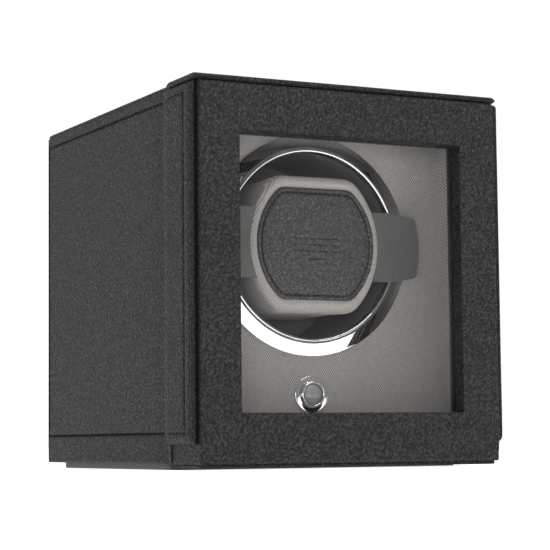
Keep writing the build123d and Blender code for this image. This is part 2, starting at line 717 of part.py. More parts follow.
def make_button(fascia_rear):
    save("button_bezel", make_bezel())
    save("button_lens", make_lens())
    nut_span = (fascia_rear, fascia_rear + BUTTON_NUT)
    nut = plate(RegularPolygon(BUTTON_NUT_RADIUS, 6), nut_span, 0, BUTTON_Z)
    save("button_nut", nut - rod(BUTTON_BARREL, nut_span, 0, BUTTON_Z))
    start = (0, at_depth(BUTTON_SPRING_SPAN[0]), BUTTON_Z)
    length = BUTTON_SPRING_SPAN[1] - BUTTON_SPRING_SPAN[0]
    spring = coil(BUTTON_SPRING_RADIUS, BUTTON_SPRING_WIRE, start, (0, 1, 0), length, BUTTON_SPRING_TURNS)
    save("button_spring", spring)


# Electronics

def make_electronics(fascia_rear):
    places = [(side * SPACER_X, z) for side in (-1, 1) for z in SPACER_Z]
    save("board_spacers", [rod(SPACER_RADIUS, (fascia_rear, BOARD_SPAN[0]), x, z) for x, z in places])
    save("control_board", centred(BOARD_HALF, BOARD_SPAN, BOARD_Z))
    front, rear = BOARD_SPAN
    switch = centred(3, (PLUNGER_SPAN[1], front), (BUTTON_Z - 3, BUTTON_Z + 3))
    switch += rod(PLUNGER_RADIUS, PLUNGER_SPAN, 0, BUTTON_Z)
    lamp = rod(1.5, (51.0, front), 6.2, BUTTON_Z)
    chip = block((-16, -6), (rear, rear + 1.6), (24, 34))
    regulator = block((6, 12), (rear, rear + 2.4), (16, 23))
    capacitor = rod(4.0, (rear, rear + 11.0), 19.0, 20.0)
    header = block((-22, -8), (rear, rear + HEADER_TALL), (14, 19.5))
    save("board_parts", [switch, lamp, chip, regulator, capacitor, header])


def socket_block(half, depth_span, half_height, x):
    """A box centred on the sockets' height."""
    return block((x - half, x + half), depth_span, (SOCKET_Z - half_height, SOCKET_Z + half_height))


def make_rear_sockets():
    """The power inlet and the turning-direction switch, behind a small plate."""
    front = REAR_PLATE_SPAN[0]
    nose_span = (front, DEPTH)
    nose = rod(JACK_NOSE, nose_span, JACK_X, SOCKET_Z)
    slot = socket_block(SWITCH_SLOT[0], nose_span, SWITCH_SLOT[1], SWITCH_X)
    save("rear_plate", centred(REAR_PLATE_HALF, REAR_PLATE_SPAN, REAR_PLATE_Z) - nose - slot)
    jack = socket_block(JACK_HALF, (JACK_FRONT, front), JACK_HALF, JACK_X) + nose
    jack -= rod(JACK_BORE, (DEPTH - JACK_BORE_DEEP, DEPTH), JACK_X, SOCKET_Z)
    jack += rod(JACK_PIN, (DEPTH - JACK_BORE_DEEP - 0.5, DEPTH - 2), JACK_X, SOCKET_Z)
    save("dc_jack", jack)
    body = socket_block(SWITCH_HALF, SWITCH_SPAN, SWITCH_HALF_HEIGHT, SWITCH_X)
    ear = (SWITCH_SPAN[0], front)
    ear_x = (SWITCH_X - SWITCH_EAR, SWITCH_X - SWITCH_HALF)
    body += block(ear_x, ear, (SOCKET_Z - SWITCH_HALF_HEIGHT, SOCKET_Z + SWITCH_HALF_HEIGHT))
    save("direction_switch", body)
    step = front - 0.4
    slider = socket_block(SLIDER_FOOT[0], (SWITCH_SPAN[1] + 0.3, step), SLIDER_FOOT[1], SWITCH_X)
    slider += socket_block(SLIDER_TIP[0], (step, DEPTH - PLAY), SLIDER_TIP[1], SWITCH_X)
    save("direction_knob", slider)


def make_battery_bay():
    tray = centred(BAY_HALF, (BAY_FRONT, BACK_BOARD_FRONT), BAY_Z)
    tray += centred(BAY_FRAME_HALF, (BACK_BOARD_FRONT, DEPTH), BAY_FRAME_Z)
    hollow_z = (BAY_Z[0] + BAY_WALL, BAY_Z[1] - BAY_WALL)
    tray -= block(BAY_INNER_X, (BAY_FRONT + BAY_WALL, DEPTH - BAY_WALL), hollow_z)
    mouth_z = (BAY_HINGE_Z - BAY_DOOR_THICK / 2 - BAY_PLAY, BAY_DOOR_TOP + BAY_PLAY)
    tray -= centred(BAY_DOOR_HALF + BAY_PLAY, (DEPTH - BAY_DOOR_THICK - BAY_PLAY, DEPTH), mouth_z)
    hinge_depth = DEPTH - BAY_DOOR_THICK / 2
    pin_end = BAY_DOOR_HALF + BAY_PIN_REACH
    socket_end = pin_end + BAY_PIN_PLAY
    tray -= cross_rod(BAY_PIN + BAY_PIN_PLAY, (-socket_end, socket_end), hinge_depth, BAY_HINGE_Z)
    save("battery_tray", tray)

    lid = centred(BAY_DOOR_HALF, (DEPTH - BAY_DOOR_THICK, DEPTH), (BAY_HINGE_Z, BAY_DOOR_TOP))
    lid += cross_rod(BAY_DOOR_THICK / 2, (-BAY_DOOR_HALF, BAY_DOOR_HALF), hinge_depth, BAY_HINGE_Z)
    lid += cross_rod(BAY_PIN, (-pin_end, pin_end), hinge_depth, BAY_HINGE_Z)
    lid -= cross_rod(BAY_THUMB_NOTCH, (-9, 9), DEPTH + BAY_THUMB_NOTCH - 1, BAY_DOOR_TOP)
    save("battery_door", lid)

    cell = cross_rod(CELL_RADIUS, (-CELL_HALF, CELL_HALF), CELL_DEPTH, CELL_Z)
    nipple_end = CELL_HALF + CELL_NIPPLE[1]
    cell += cross_rod(CELL_NIPPLE[0], (CELL_HALF, nipple_end), CELL_DEPTH, CELL_Z)
    save("battery_cell", cell)
    leaf_depths = (CELL_DEPTH - CONTACT_HALF, CELL_DEPTH + CONTACT_HALF)
    leaf = block((nipple_end, BAY_INNER_X[1]), leaf_depths, (CELL_Z - CONTACT_HALF, CELL_Z + CONTACT_HALF))
    start = (BAY_INNER_X[0] + 0.5, at_depth(CELL_DEPTH), CELL_Z)
    spring = coil(CONTACT_COIL_RADIUS, CONTACT_COIL_WIRE, start, (1, 0, 0), CONTACT_COIL_LENGTH, 2)
    save("battery_contacts", [leaf, spring])


def looped_lead(start, back, outer, down, front, x):
    """A wire that runs back from its start, out to a side wall, down it, forward, and in to the header."""
    start_x, start_depth, start_z = start
    socket = BOARD_SPAN[1] + HEADER_TALL
    return lead([
        start,
        (start_x, back, start_z),
        (outer, back, start_z),
        (outer, back, down),
        (outer, socket + front, down),
        (x, socket + front, HEADER_Z),
        (x, socket, HEADER_Z),
    ])


def make_leads():
    """Two wires from the motor and two from the power inlet, all to the control board's header."""
    leads = []
    for index in (0, 1):
        back = 3.0 * index
        outer = 2.0 * index
        front = 4.0 * index
        header = 2.5 * index
        start = (10.0 * index - 5.0, MOTOR_REAR - MOTOR_CAP, PINION_Z)
        run = (MOTOR_REAR + 8 + back, -47 - outer, 34 + back)
        leads.append(looped_lead(start, *run, 16 + front, header - 20))
        start = (JACK_X - 3.0 + 5.0 * index, JACK_FRONT, SOCKET_Z)
        run = (JACK_FRONT - 8 - back, -54 - outer, 24 + back)
        leads.append(looped_lead(start, *run, 26 + front, header - 14))
    save("internal_leads", leads)


case_magnets = make_magnets((CASE_FRONT, CASE_FRONT + MAGNET_DEEP))
door_magnets = make_magnets((DOOR_REAR - MAGNET_DEEP, DOOR_REAR))
make_cabinet(case_magnets)
fascia_back = make_fascia()
make_door(door_magnets)
make_drive()
make_chassis(fascia_back)
make_cuff()
make_button(fascia_back)
make_electronics(fascia_back)
make_rear_sockets()
make_battery_bay()
make_leads()
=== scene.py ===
# The looks of the watch winder box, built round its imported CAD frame.
# Shapes are worked out in millimetres and written to meshes in metres.
# Depths are counted backwards from the front face, as in the CAD model.
import math

import bmesh
import bpy
import numpy as np
from mathutils import Matrix, Vector


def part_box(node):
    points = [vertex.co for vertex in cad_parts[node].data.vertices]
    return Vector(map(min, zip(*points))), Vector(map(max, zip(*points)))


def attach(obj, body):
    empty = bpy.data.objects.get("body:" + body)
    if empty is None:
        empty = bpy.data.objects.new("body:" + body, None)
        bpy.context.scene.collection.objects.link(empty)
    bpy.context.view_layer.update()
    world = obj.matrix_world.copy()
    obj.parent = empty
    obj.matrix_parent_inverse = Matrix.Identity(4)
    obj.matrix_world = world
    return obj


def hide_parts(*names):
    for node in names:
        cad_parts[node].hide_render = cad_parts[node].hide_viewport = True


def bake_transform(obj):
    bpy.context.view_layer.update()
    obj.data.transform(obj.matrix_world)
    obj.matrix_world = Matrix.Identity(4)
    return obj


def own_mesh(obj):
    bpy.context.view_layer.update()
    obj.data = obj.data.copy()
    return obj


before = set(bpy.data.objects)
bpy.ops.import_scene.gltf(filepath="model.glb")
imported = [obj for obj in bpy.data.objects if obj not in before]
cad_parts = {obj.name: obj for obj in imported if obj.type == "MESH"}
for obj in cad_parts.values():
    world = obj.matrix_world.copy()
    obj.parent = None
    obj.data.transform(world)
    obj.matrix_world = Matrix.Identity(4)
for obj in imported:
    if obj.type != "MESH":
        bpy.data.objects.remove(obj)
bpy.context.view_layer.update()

MM = 0.001


def mm_box(node):
    """The lowest and highest corners of a CAD node, in millimetres."""
    low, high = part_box(node)
    return np.array(low) / MM, np.array(high) / MM


FACE_LOW, FACE_HIGH = mm_box("door_face_leather")
FRONT = FACE_LOW[1]


def depths(low, high):
    """How far behind the front face a box starts and ends."""
    return low[1] - FRONT, high[1] - FRONT


GLASS_LOW, GLASS_HIGH = mm_box("glass_pane")
PAD_LOW, PAD_HIGH = mm_box("door_right_pad")
SKIN_LOW, SKIN_HIGH = mm_box("case_right_leather")
GLASS_LAP = 4.4
WINDOW_LOW = GLASS_LOW + GLASS_LAP
WINDOW_HIGH = GLASS_HIGH - GLASS_LAP
GLASS_DEPTH = GLASS_LOW[1] - FRONT
PAD_FRONT, DOOR_REAR = depths(PAD_LOW, PAD_HIGH)
CASE_FRONT, DEPTH = depths(SKIN_LOW, SKIN_HIGH)
AXIS_Z, BUTTON_Z = (sum(mm_box(round_part))[2] / 2 for round_part in ("drum_ring", "button_bezel"))

SIDES = ((-1, "left"), (1, "right"))

# Sewing, the same on the door's strips and the cabinet's sides
STITCH_PITCH = 3.2
STITCH_LENGTH = 2.5
STITCH_RADIUS = 0.27
STITCH_SLANT = 0.16
STITCH_FRONT = 9.5
STITCH_TOP = 145.3
STITCH_BOTTOM = 14.2
STITCH_REAR = 162.3
CHANNEL_WIDTH = 0.6
CHANNEL_DEPTH = 0.55

# The door's face leather, as (outset, depth): its rolled edge, and the lip of its window
FACE_CORNERS = (5.0, 1.6, 1.6, 5.0)
FACE_EDGE = ((-0.95, 2.3), (-0.35, 2.25), (-0.02, 1.7), (-0.05, 1.1), (-0.35, 0.5), (-0.8, 0.2), (-1.5, 0.04))
FACE_FULLNESS = 0.16
WINDOW_LIP = ((0.36, 0.06), (0.14, 0.22), (0.03, 0.55), (0.0, 1.2), (0.0, GLASS_DEPTH))
SKIN_BACK = 1.15

# The door's side strips
STRIP_START = PAD_FRONT - 0.9
STRIP_ROLL = 2.2
STRIP_SETBACK = 3.0
STRIP_BEAD = (0.16, 1.9, 0.5)
STRIP_CREASE = (-0.34, 2.9, 0.5)
STRIP_SWELL = (0.1, 5.6, 1.8)
STRIP_FRONT_MARKS = (0.03, 0.08, 0.18, 0.3, 0.5, 0.75, 1.0, 1.3, 1.6, 1.9, 2.2, 2.5, 2.9, 3.3, 3.9)
STRIP_REAR_MARKS = (0.06, 0.16, 0.3, 0.5, 0.75)
STRIP_END_MARKS = (0.05, 0.15, 0.3, 0.5, 0.8, 1.2, 1.8, 2.5)
LINE_MARKS = (-1.2, -0.8, -0.5, -0.25, 0, 0.25, 0.5, 0.8, 1.2)

# The hinge's leather, as (distance from the middle, depth behind the door's rear)
HINGE_PATH = ((68.7, -1.5), (68.85, -0.55), (68.8, 0.1), (68.6, 0.55), (68.35, 0.95), (68.15, 1.6),
              (67.98, 2.6), (67.9, 4.2), (67.72, 6.0))
HINGE_THICK = 0.35

# The cabinet's skins
CORNER = 2.0
WRAP_TAIL = 1.6
SEAM_DIP = (0.75, 10.0)

# The cuff's patch and what is pressed into it
PATCH_STEP = 0.26
PATCH_SEAM = 2.0
PATCH_STITCH = 2.2
BAR_PITCH = (6.2, 2.6)
BAR_HALF = (2.4, 0.42)
LINE_Z = -5.8
LINE_REACH = 5.0
COIL_TURNS = 4.5

# Bevels of parts that stay as the CAD made them
BEVELS = {
    "cuff_bar": 0.5, "cuff_core": 0.3, "rear_plate": 0.4, "battery_tray": 0.35, "battery_door": 0.3,
    "direction_knob": 0.2, "glass_retainer": 0.25, "motor_plate": 0.2, "dc_jack": 0.2,
    "retainer_screws": 0.2, "drum_cup": 0.15,
}

# The camera, with its turns in degrees, the lamps and the floor
CAMERA_PLACE = (-0.3673, -0.73485, 0.0104)
CAMERA_YAW = 26.97
CAMERA_PITCH = 5.03
CAMERA_TILT = -0.57
CAMERA_LENS = 124.5
# Each lamp's name, place, aim, size and power in watts
LAMPS = (
    ("overhead", (0.1, -0.5, 1.5), (0, 0, 0.05), (1.1, 0.8), 19),
    ("left_rear", (-0.42, 0.4, 0.34), (-0.07, 0.06, 0.08), (0.3, 0.3), 0.45),
    ("front_left", (-0.9, -1.5, 0.12), (0, 0, 0.1), (0.5, 0.2), 5),
)
PALE_SIDE = (0.45, 0.89, 0.05)
FLOOR_HALF = 6.0
FLOOR_CELLS = 12

# Slant of the cloth's ribs, in degrees
TWILL_TURN = -32

materials = {}


# Helpers for meshes

def add_object(name, data):
    made = bpy.data.objects.new(name, data)
    bpy.context.scene.collection.objects.link(made)
    return made


def add_piece(name, shape, slot, body, stands_for=(), sharp=48, look=None):
    """A closed mesh in millimetres, as (points, faces), becomes a piece that rides on a body."""
    points, faces = shape
    mesh = bpy.data.meshes.new(name)
    mesh.from_pydata([tuple(p) for p in np.asarray(points, float) * MM], [], faces)
    tidy = bmesh.new()
    tidy.from_mesh(mesh)
    bmesh.ops.remove_doubles(tidy, verts=tidy.verts, dist=1e-7)
    bmesh.ops.dissolve_degenerate(tidy, edges=tidy.edges, dist=1e-7)
    bmesh.ops.recalc_face_normals(tidy, faces=tidy.faces)
    tidy.to_mesh(mesh)
    tidy.free()
    mesh.shade_smooth()
    mesh.set_sharp_from_angle(angle=math.radians(sharp))
    mesh.materials.append(materials[look or slot])
    piece = add_object(name, mesh)
    if body:
        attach(piece, body)
    if stands_for:
        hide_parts(*stands_for)
    return piece


def fine_skin(name, shape, body, stands_for):
    """A piece of leather with a finer grain, in place of one CAD node."""
    return add_piece(name, shape, "black_leather", body, [stands_for], 70, "fine_leather")


def add_thread(name, threads, body):
    add_piece(name, merge(threads), "black_leather", body, look="stitch_thread")


def join_rings(rings, closed=False):
    """Faces between neighbouring rings of equally many points. Open stacks get a cap at each end."""
    count = len(rings[0])
    points = np.concatenate(rings)
    faces = []
    for r in range(len(rings) if closed else len(rings) - 1):
        near = r * count
        far = (r + 1) % len(rings) * count
        for i in range(count):
            j = (i + 1) % count
            faces.append((near + i, near + j, far + j, far + i))
    if not closed:
        faces.append(tuple(range(count - 1, -1, -1)))
        faces.append(tuple(range(len(points) - count, len(points))))
    return points, faces


def merge(parts):
    """Several (points, faces) meshes as one."""
    points = []
    faces = []
    start = 0
    for part_points, part_faces in parts:
        points.append(np.asarray(part_points))
        faces += [tuple(start + i for i in face) for face in part_faces]
        start += len(part_points)
    return np.concatenate(points), faces


def spread(low, high, step, marks=()):
    """Values from low to high about a step apart, that pass through each mark."""
    stops = sorted({low, high, *[m for m in marks if low < m < high]})
    values = [low]
    for start, end in zip(stops, stops[1:]):
        count = max(1, math.ceil((end - start) / step))
        values += [start + (end - start) * (i + 1) / count for i in range(count)]
    return np.array(values)


def rounded_rectangle(low, high, radii, side):
    """Points round a rectangle, as many for any size, so that two of them can be joined."""
    bend = 8
    corners = [(high[0], low[1], -90), (high[0], high[1], 0), (low[0], high[1], 90), (low[0], low[1], 180)]
    arcs = []
    for (x, z, start), radius in zip(corners, radii):
        middle_x = x - math.copysign(radius, x - (low[0] + high[0]) / 2)
        middle_z = z - math.copysign(radius, z - (low[1] + high[1]) / 2)
        angles = np.radians(start + 90 * np.arange(bend) / (bend - 1))
        arcs.append(np.stack([middle_x + radius * np.cos(angles), middle_z + radius * np.sin(angles)], 1))
    points = []
    for arc, following in zip(arcs, arcs[1:] + arcs[:1]):
        points.append(arc)
        share = (np.arange(side) + 1)[:, None] / (side + 1)
        points.append(arc[-1] + (following[0] - arc[-1]) * share)
    return np.concatenate(points)


def behind_front(x, depth, z):
    """Points at a depth behind the front face."""
    return np.stack([x, FRONT + depth + 0 * x, z], 1)


def frame_ring(low, high, radii, outset, depth, side):
    """A rounded rectangle in the plane at a depth, moved outwards all round."""
    grown = [max(0.05, r + outset) for r in radii]
    loop = rounded_rectangle(np.array(low) - outset, np.array(high) + outset, grown, side)
    return behind_front(loop[:, 0], depth, loop[:, 1])


def level_rings(low, high, radii, profile, side):
    """Rounded rectangles that lie flat, each at an inset and a height."""
    rings = []
    for inset, z in profile:
        corners = [max(0.1, radius - inset) for radius in radii]
        loop = rounded_rectangle(low[:2] + inset, high[:2] - inset, corners, side)
        rings.append(np.stack([loop[:, 0], loop[:, 1], np.full(len(loop), z)], 1))
    return rings


def waves(points, size, amount, seed=0.0):
    """A soft unevenness of a surface: a few crossed sine waves that never line up."""
    p = np.asarray(points) / size
    total = np.zeros(len(p))
    for i, (a, b, c) in enumerate(((1.0, 0.7, 0.4), (-0.6, 1.1, 0.9), (0.3, -1.3, 1.2), (1.4, 0.5, -1.1))):
        total += np.sin(p[:, 0] * a + p[:, 1] * b + p[:, 2] * c + 1.7 * i + seed)
    return amount * total / 4


def roll(distance, radius, power=2.0):
    """From 0 at an edge up to 1 once the distance reaches the radius, round like a tube."""
    share = np.clip(distance / radius, 0, 1)
    return (1 - (1 - share) ** power) ** (1 / power)


def channel(distance, along, pitch=STITCH_PITCH):
    """How far a sewn line pulls the surface in: a groove that is deeper at each needle hole."""
    holes = 0.5 + 0.5 * np.cos(2 * math.pi * along / pitch)
    groove = np.exp(-((distance / CHANNEL_WIDTH) ** 2))
    return CHANNEL_DEPTH * groove * (0.75 + 0.5 * holes)


def from_ends(low, high, marks):
    """Places at the same distances in from both ends."""
    return [low + mark for mark in marks] + [high - mark for mark in marks]


def panel(a_values, b_values, place, height, holes=(), under=None):
    """A solid sheet over a grid. place(a, b, h) gives points, and height and under the top and bottom."""
    count_b = len(b_values)
    a, b = (g.ravel() for g in np.meshgrid(a_values, b_values, indexing="ij"))
    top = place(a, b, height(a, b))
    bottom = place(a, b, under(a, b) if under else np.zeros(len(a)))
    shift = len(top)
    middle_a = (a_values[1:] + a_values[:-1]) / 2
    middle_b = (b_values[1:] + b_values[:-1]) / 2
    there = np.ones((len(middle_a), len(middle_b)), bool)
    for a_low, a_high, b_low, b_high in holes:
        inside_a = (middle_a > a_low) & (middle_a < a_high)
        inside_b = (middle_b > b_low) & (middle_b < b_high)
        there &= ~np.outer(inside_a, inside_b)
    faces = []
    fenced = np.pad(there, 1)
    for i, j in np.argwhere(there):
        one, two = i * count_b + j, (i + 1) * count_b + j
        three, four = two + 1, one + 1
        faces.append((one, two, three, four))
        faces.append((four + shift, three + shift, two + shift, one + shift))
        beside = ((i + 1, j), (i + 2, j + 1), (i + 1, j + 2), (i, j + 1))
        for cell, start, end in zip(beside, (one, two, three, four), (two, three, four, one)):
            if not fenced[cell]:
                faces.append((start + shift, end + shift, end, start))
    return np.concatenate([top, bottom]), faces


def lathe(profile, z, segments, closed=True):
    """A profile of (radius, depth) turned about an axis along Y."""
    angles = 2 * math.pi * np.arange(segments) / segments
    rings = []
    for radius, depth in profile:
        rings.append(behind_front(radius * np.cos(angles), depth, z + radius * np.sin(angles)))
    return join_rings(rings, closed)


def arc(centre, radius, start, end, count):
    """Points on an arc, from and to angles in degrees, as (radius, depth) pairs."""
    angles = np.radians(np.linspace(start, end, count))
    return [(centre[0] + radius * math.cos(a), centre[1] + radius * math.sin(a)) for a in angles]


def tube(path, radius, sides):
    """A round thread along a path, tapered where radius is a list."""
    path = np.asarray(path, float)
    radii = np.broadcast_to(radius, len(path))
    along = np.gradient(path, axis=0)
    along /= np.linalg.norm(along, axis=1)[:, None]
    angles = 2 * math.pi * np.arange(sides) / sides
    guide = (0, 0, 1) if abs(along[0][2]) < 0.8 else (1, 0, 0)
    rings = []
    for centre, direction, size in zip(path, along, radii):
        first = np.cross(direction, guide)
        first /= np.linalg.norm(first)
        second = np.cross(direction, first)
        rings.append(centre + size * (np.outer(np.cos(angles), first) + np.outer(np.sin(angles), second)))
    return join_rings(rings)


def stitch_line(surface, start, end):
    """Short threads along a straight line on a surface(a, b, lift), each one a little askew."""
    start, end = np.array((start, end), float)
    length = np.linalg.norm(end - start)
    along = (end - start) / length
    across = np.array((-along[1], along[0]))
    threads = []
    for k in range(int(length / STITCH_PITCH)):
        middle = start + along * STITCH_PITCH * (k + 0.5)
        share = np.linspace(-0.5, 0.5, 7)
        spots = middle + np.outer(share * STITCH_LENGTH, along + STITCH_SLANT * across)
        lift = 0.12 - 1.9 * share**2
        path = surface(spots[:, 0], spots[:, 1], lift)
        threads.append(tube(path, STITCH_RADIUS * (1.15 - 1.4 * share**2), 7))
    return threads


# Materials

def new_material(name):
    material = bpy.data.materials.new("look_" + name)
    material.use_nodes = True
    tree = material.node_tree
    shader = tree.nodes["Principled BSDF"]
    materials[name] = material
    return tree, shader


def node(tree, kind, settings=None, **inputs):
    """A node with some inputs set or linked. An underscore in an input's name is a space."""
    made = tree.nodes.new("ShaderNode" + kind)
    for key, value in (settings or {}).items():
        setattr(made, key, value)
    for key, value in inputs.items():
        connect(tree, value, made.inputs[key.replace("_", " ")])
    return made


def connect(tree, value, socket):
    """Links a socket's source, or sets its number."""
    if isinstance(value, bpy.types.NodeSocket):
        tree.links.new(value, socket)
    else:
        socket.default_value = value


def maths(tree, operation, first, second=0.5, clamp=False):
    made = node(tree, "Math", {"operation": operation, "use_clamp": clamp})
    connect(tree, first, made.inputs[0])
    connect(tree, second, made.inputs[1])
    return made.outputs[0]


def blend_colours(tree, factor, first, second):
    made = node(tree, "Mix", {"data_type": "RGBA"})
    connect(tree, factor, made.inputs[0])
    connect(tree, first, made.inputs[6])
    connect(tree, second, made.inputs[7])
    return made.outputs[2]


def rescale(tree, value, low, high, new_low=0.0, new_high=1.0):
    """Maps a value's range to another, with a smooth start and end."""
    made = node(tree, "MapRange", {"interpolation_type": "SMOOTHSTEP"}, Value=value)
    for index, number in enumerate((low, high, new_low, new_high)):
        made.inputs[index + 1].default_value = number
    return made.outputs[0]


def place_of(tree, turn=(0, 0, 0), stretch=(1, 1, 1)):
    """The place on the object in metres, turned and then stretched."""
    spot = node(tree, "TexCoord").outputs["Object"]
    mapping = node(tree, "Mapping", {"vector_type": "TEXTURE"}, Vector=spot)
    mapping.inputs["Rotation"].default_value = [math.radians(t) for t in turn]
    mapping.inputs["Scale"].default_value = [1 / s for s in stretch]
    return mapping.outputs[0]


def noise_at(tree, vector, scale, detail=3.0, rough=0.55):
    """The value of a noise, from about 0.25 to 0.75."""
    made = node(tree, "TexNoise", Vector=vector, Scale=scale, Detail=detail, Roughness=rough)
    return made.outputs["Fac"]


def weighted(tree, *terms):
    """The sum of some values, each times its weight."""
    scaled = [value if weight == 1 else maths(tree, "MULTIPLY", value, weight) for value, weight in terms]
    result = scaled[0]
    for value in scaled[1:]:
        result = maths(tree, "ADD", result, value)
    return result


def grey(value, tint=(1.0, 1.0, 1.0)):
    return (value * tint[0], value * tint[1], value * tint[2], 1.0)


def tint(tree, shader, factor, dark, light):
    tree.links.new(blend_colours(tree, factor, dark, light), shader.inputs["Base Color"])


def colour(tree, shader, value, span, dark, light):
    """Goes from dark to light as a value crosses its span."""
    tint(tree, shader, rescale(tree, value, *span), dark, light)


def vary(tree, shader, name, value, span, ends):
    """Takes a shader input from one end to the other as a value crosses its span."""
    tree.links.new(rescale(tree, value, *span, *ends), shader.inputs[name])


def fix(shader, **inputs):
    """Sets shader inputs to plain values, named as for node."""
    for name, value in inputs.items():
        shader.inputs[name.replace("_", " ")].default_value = value


def bump(tree, shader, height, distance):
    """Raises the surface by up to a distance in millimetres."""
    made = node(tree, "Bump", Height=height, Strength=1.0, Distance=distance * MM)
    tree.links.new(made.outputs[0], shader.inputs["Normal"])


def leather(name, valley, peak, cell=1.2, depth=0.2, rough=(0.42, 0.62), wrinkle=0.5, stretch=0.38):
    """Pigmented leather: pebbles run together by slanted creases, with painted shade: darker and less glossy
    in the grain's low parts, paler on its tops, under a broad random tone.
    """
    tree, shader = new_material(name)
    size = 1 / (cell * MM)
    spot = place_of(tree)
    slanted = place_of(tree, (-35, 48, 0), (1.0, 1.0, stretch))
    drift = node(tree, "TexNoise", Vector=spot, Scale=size * 0.5, Detail=2, Roughness=0.55).outputs["Color"]
    pulled = node(tree, "VectorMath", {"operation": "MULTIPLY_ADD"}, Vector=drift)
    pulled.inputs[1].default_value = (1.1 * cell * MM,) * 3
    tree.links.new(slanted, pulled.inputs[2])
    cells = node(tree, "TexVoronoi", {"feature": "DISTANCE_TO_EDGE"}, Vector=pulled.outputs[0], Scale=size)
    pebbles = rescale(tree, cells.outputs["Distance"], 0.0, 0.4)
    creases = rescale(tree, noise_at(tree, slanted, size * 1.25, 2, 0.5), 0.3, 0.7)
    fine = noise_at(tree, spot, size * 3.2, 2)
    relief = weighted(tree, (pebbles, 1.0 - wrinkle), (creases, wrinkle), (fine, 0.12))
    # Painted shade: the grain's relief darkens its low parts, mixed with a broad random tone.
    shade_and_tone = weighted(tree, (relief, 1), (noise_at(tree, spot, 26), 0.3))
    colour(tree, shader, shade_and_tone, (0.3, 1.3), valley, peak)
    vary(tree, shader, "Roughness", relief, (0.2, 1.1), (rough[1], rough[0]))
    # Painted shade: the grain's low parts reflect less, in place of their own shadow.
    vary(tree, shader, "Specular IOR Level", relief, (0.1, 1.1), (0.2, 0.52))
    bump(tree, shader, relief, depth)


def sewing_thread(name):
    """Dull black thread, with its twist."""
    tree, shader = new_material(name)
    twist = noise_at(tree, place_of(tree), 5200)
    tint(tree, shader, twist, grey(0.002), grey(0.012))
    fix(shader, Roughness=0.8, Specular_IOR_Level=0.12)
    bump(tree, shader, twist, 0.04)


def dot(tree, vector, direction):
    """How far a vector reaches in a direction."""
    made = node(tree, "VectorMath", {"operation": "DOT_PRODUCT"}, Vector=vector)
    made.inputs[1].default_value = direction
    return made.outputs["Value"]


def ribs_across(tree, spot, direction, pitch, wander, sway):
    """Ribs that cross a direction, from 0 between them to 1 on top, and that wander a little."""
    phase = maths(tree, "MULTIPLY", dot(tree, spot, direction), 2 * math.pi / (pitch * MM))
    phase = weighted(tree, (phase, 1), (wander, sway))
    return rescale(tree, maths(tree, "SINE", phase), -1.0, 1.0)


def twill(name, dark, light, pitch, depth):
    """A fine slanted rib, crossed by thinner threads, with an uneven dye."""
    tree, shader = new_material(name)
    spot = place_of(tree)
    wander = noise_at(tree, spot, 160)
    sine = math.sin(math.radians(TWILL_TURN))
    cosine = math.cos(math.radians(TWILL_TURN))
    ribs = ribs_across(tree, spot, (cosine, 0.35, sine), pitch, wander, 5.0)
    threads = ribs_across(tree, spot, (-sine, 0.2, cosine), 0.62 * pitch, wander, 8.0)
    slubs = noise_at(tree, place_of(tree, (0, TWILL_TURN, 0), (0.25, 1.0, 1.0)), 1300)
    relief = weighted(tree, (ribs, 0.6), (threads, 0.25), (slubs, 0.5))
    dyed = weighted(tree, (relief, 1), (noise_at(tree, spot, 30), 0.25))
    colour(tree, shader, dyed, (0.25, 1.35), dark, light)
    fix(shader, Roughness=0.82, Sheen_Weight=0.25, Specular_IOR_Level=0.3)
    bump(tree, shader, relief, depth)


def felt(name, dark, light):
    """Short matted fibres."""
    tree, shader = new_material(name)
    fibres = noise_at(tree, place_of(tree, (20, 35, 10), (1.0, 0.3, 1.0)), 2600, 5, 0.7)
    relief = weighted(tree, (fibres, 1), (noise_at(tree, place_of(tree), 260), 0.6))
    colour(tree, shader, relief, (0.5, 1.1), dark, light)
    fix(shader, Roughness=0.95, Sheen_Weight=0.4)
    bump(tree, shader, relief, 0.25)


def moulded(name, dark, light, rough=(0.38, 0.5), grain=0.35, depth=0.02):
    """Moulded plastic with a fine spark-eroded texture and faint handling marks."""
    tree, shader = new_material(name)
    spot = place_of(tree)
    spark = noise_at(tree, spot, 1 / (grain * MM), 3, 0.6)
    marks = noise_at(tree, spot, 70, 4)
    colour(tree, shader, marks, (0.3, 0.7), dark, light)
    vary(tree, shader, "Roughness", weighted(tree, (spark, 1), (marks, 1)), (0.7, 1.3), rough)
    bump(tree, shader, spark, depth)


def metal(name, dark, light, rough=(0.06, 0.14), brush=(1.0, 1.0, 1.0), depth=0.002):
    """Bare or plated metal, with fine marks that brush stretches into lines."""
    tree, shader = new_material(name)
    lines = noise_at(tree, place_of(tree, stretch=brush), 1800, 3, 0.6)
    smears = noise_at(tree, place_of(tree), 90, 4)
    colour(tree, shader, smears, (0.3, 0.7), dark, light)
    vary(tree, shader, "Roughness", weighted(tree, (lines, 0.5), (smears, 0.5)), (0.3, 0.7), rough)
    fix(shader, Metallic=1.0)
    bump(tree, shader, lines, depth)


def board_fibre(name, dark, light):
    """Pressed wood fibre."""
    tree, shader = new_material(name)
    fibres = noise_at(tree, place_of(tree, (0, 0, 25), (1.0, 0.35, 1.0)), 1700, 5, 0.7)
    colour(tree, shader, fibres, (0.3, 0.7), dark, light)
    fix(shader, Roughness=0.9)
    bump(tree, shader, fibres, 0.08)


def circuit(name, mask, track):
    """Solder mask over copper tracks, with a scatter of pads."""
    tree, shader = new_material(name)
    spot = place_of(tree)
    cells = node(tree, "TexVoronoi", {"distance": "CHEBYCHEV"}, Vector=spot, Scale=330, Randomness=0.55)
    edges = rescale(tree, cells.outputs["Distance"], 0.36, 0.42)
    tint(tree, shader, edges, mask, track)
    vary(tree, shader, "Roughness", edges, (0, 1), (0.35, 0.22))
    bump(tree, shader, edges, 0.03)


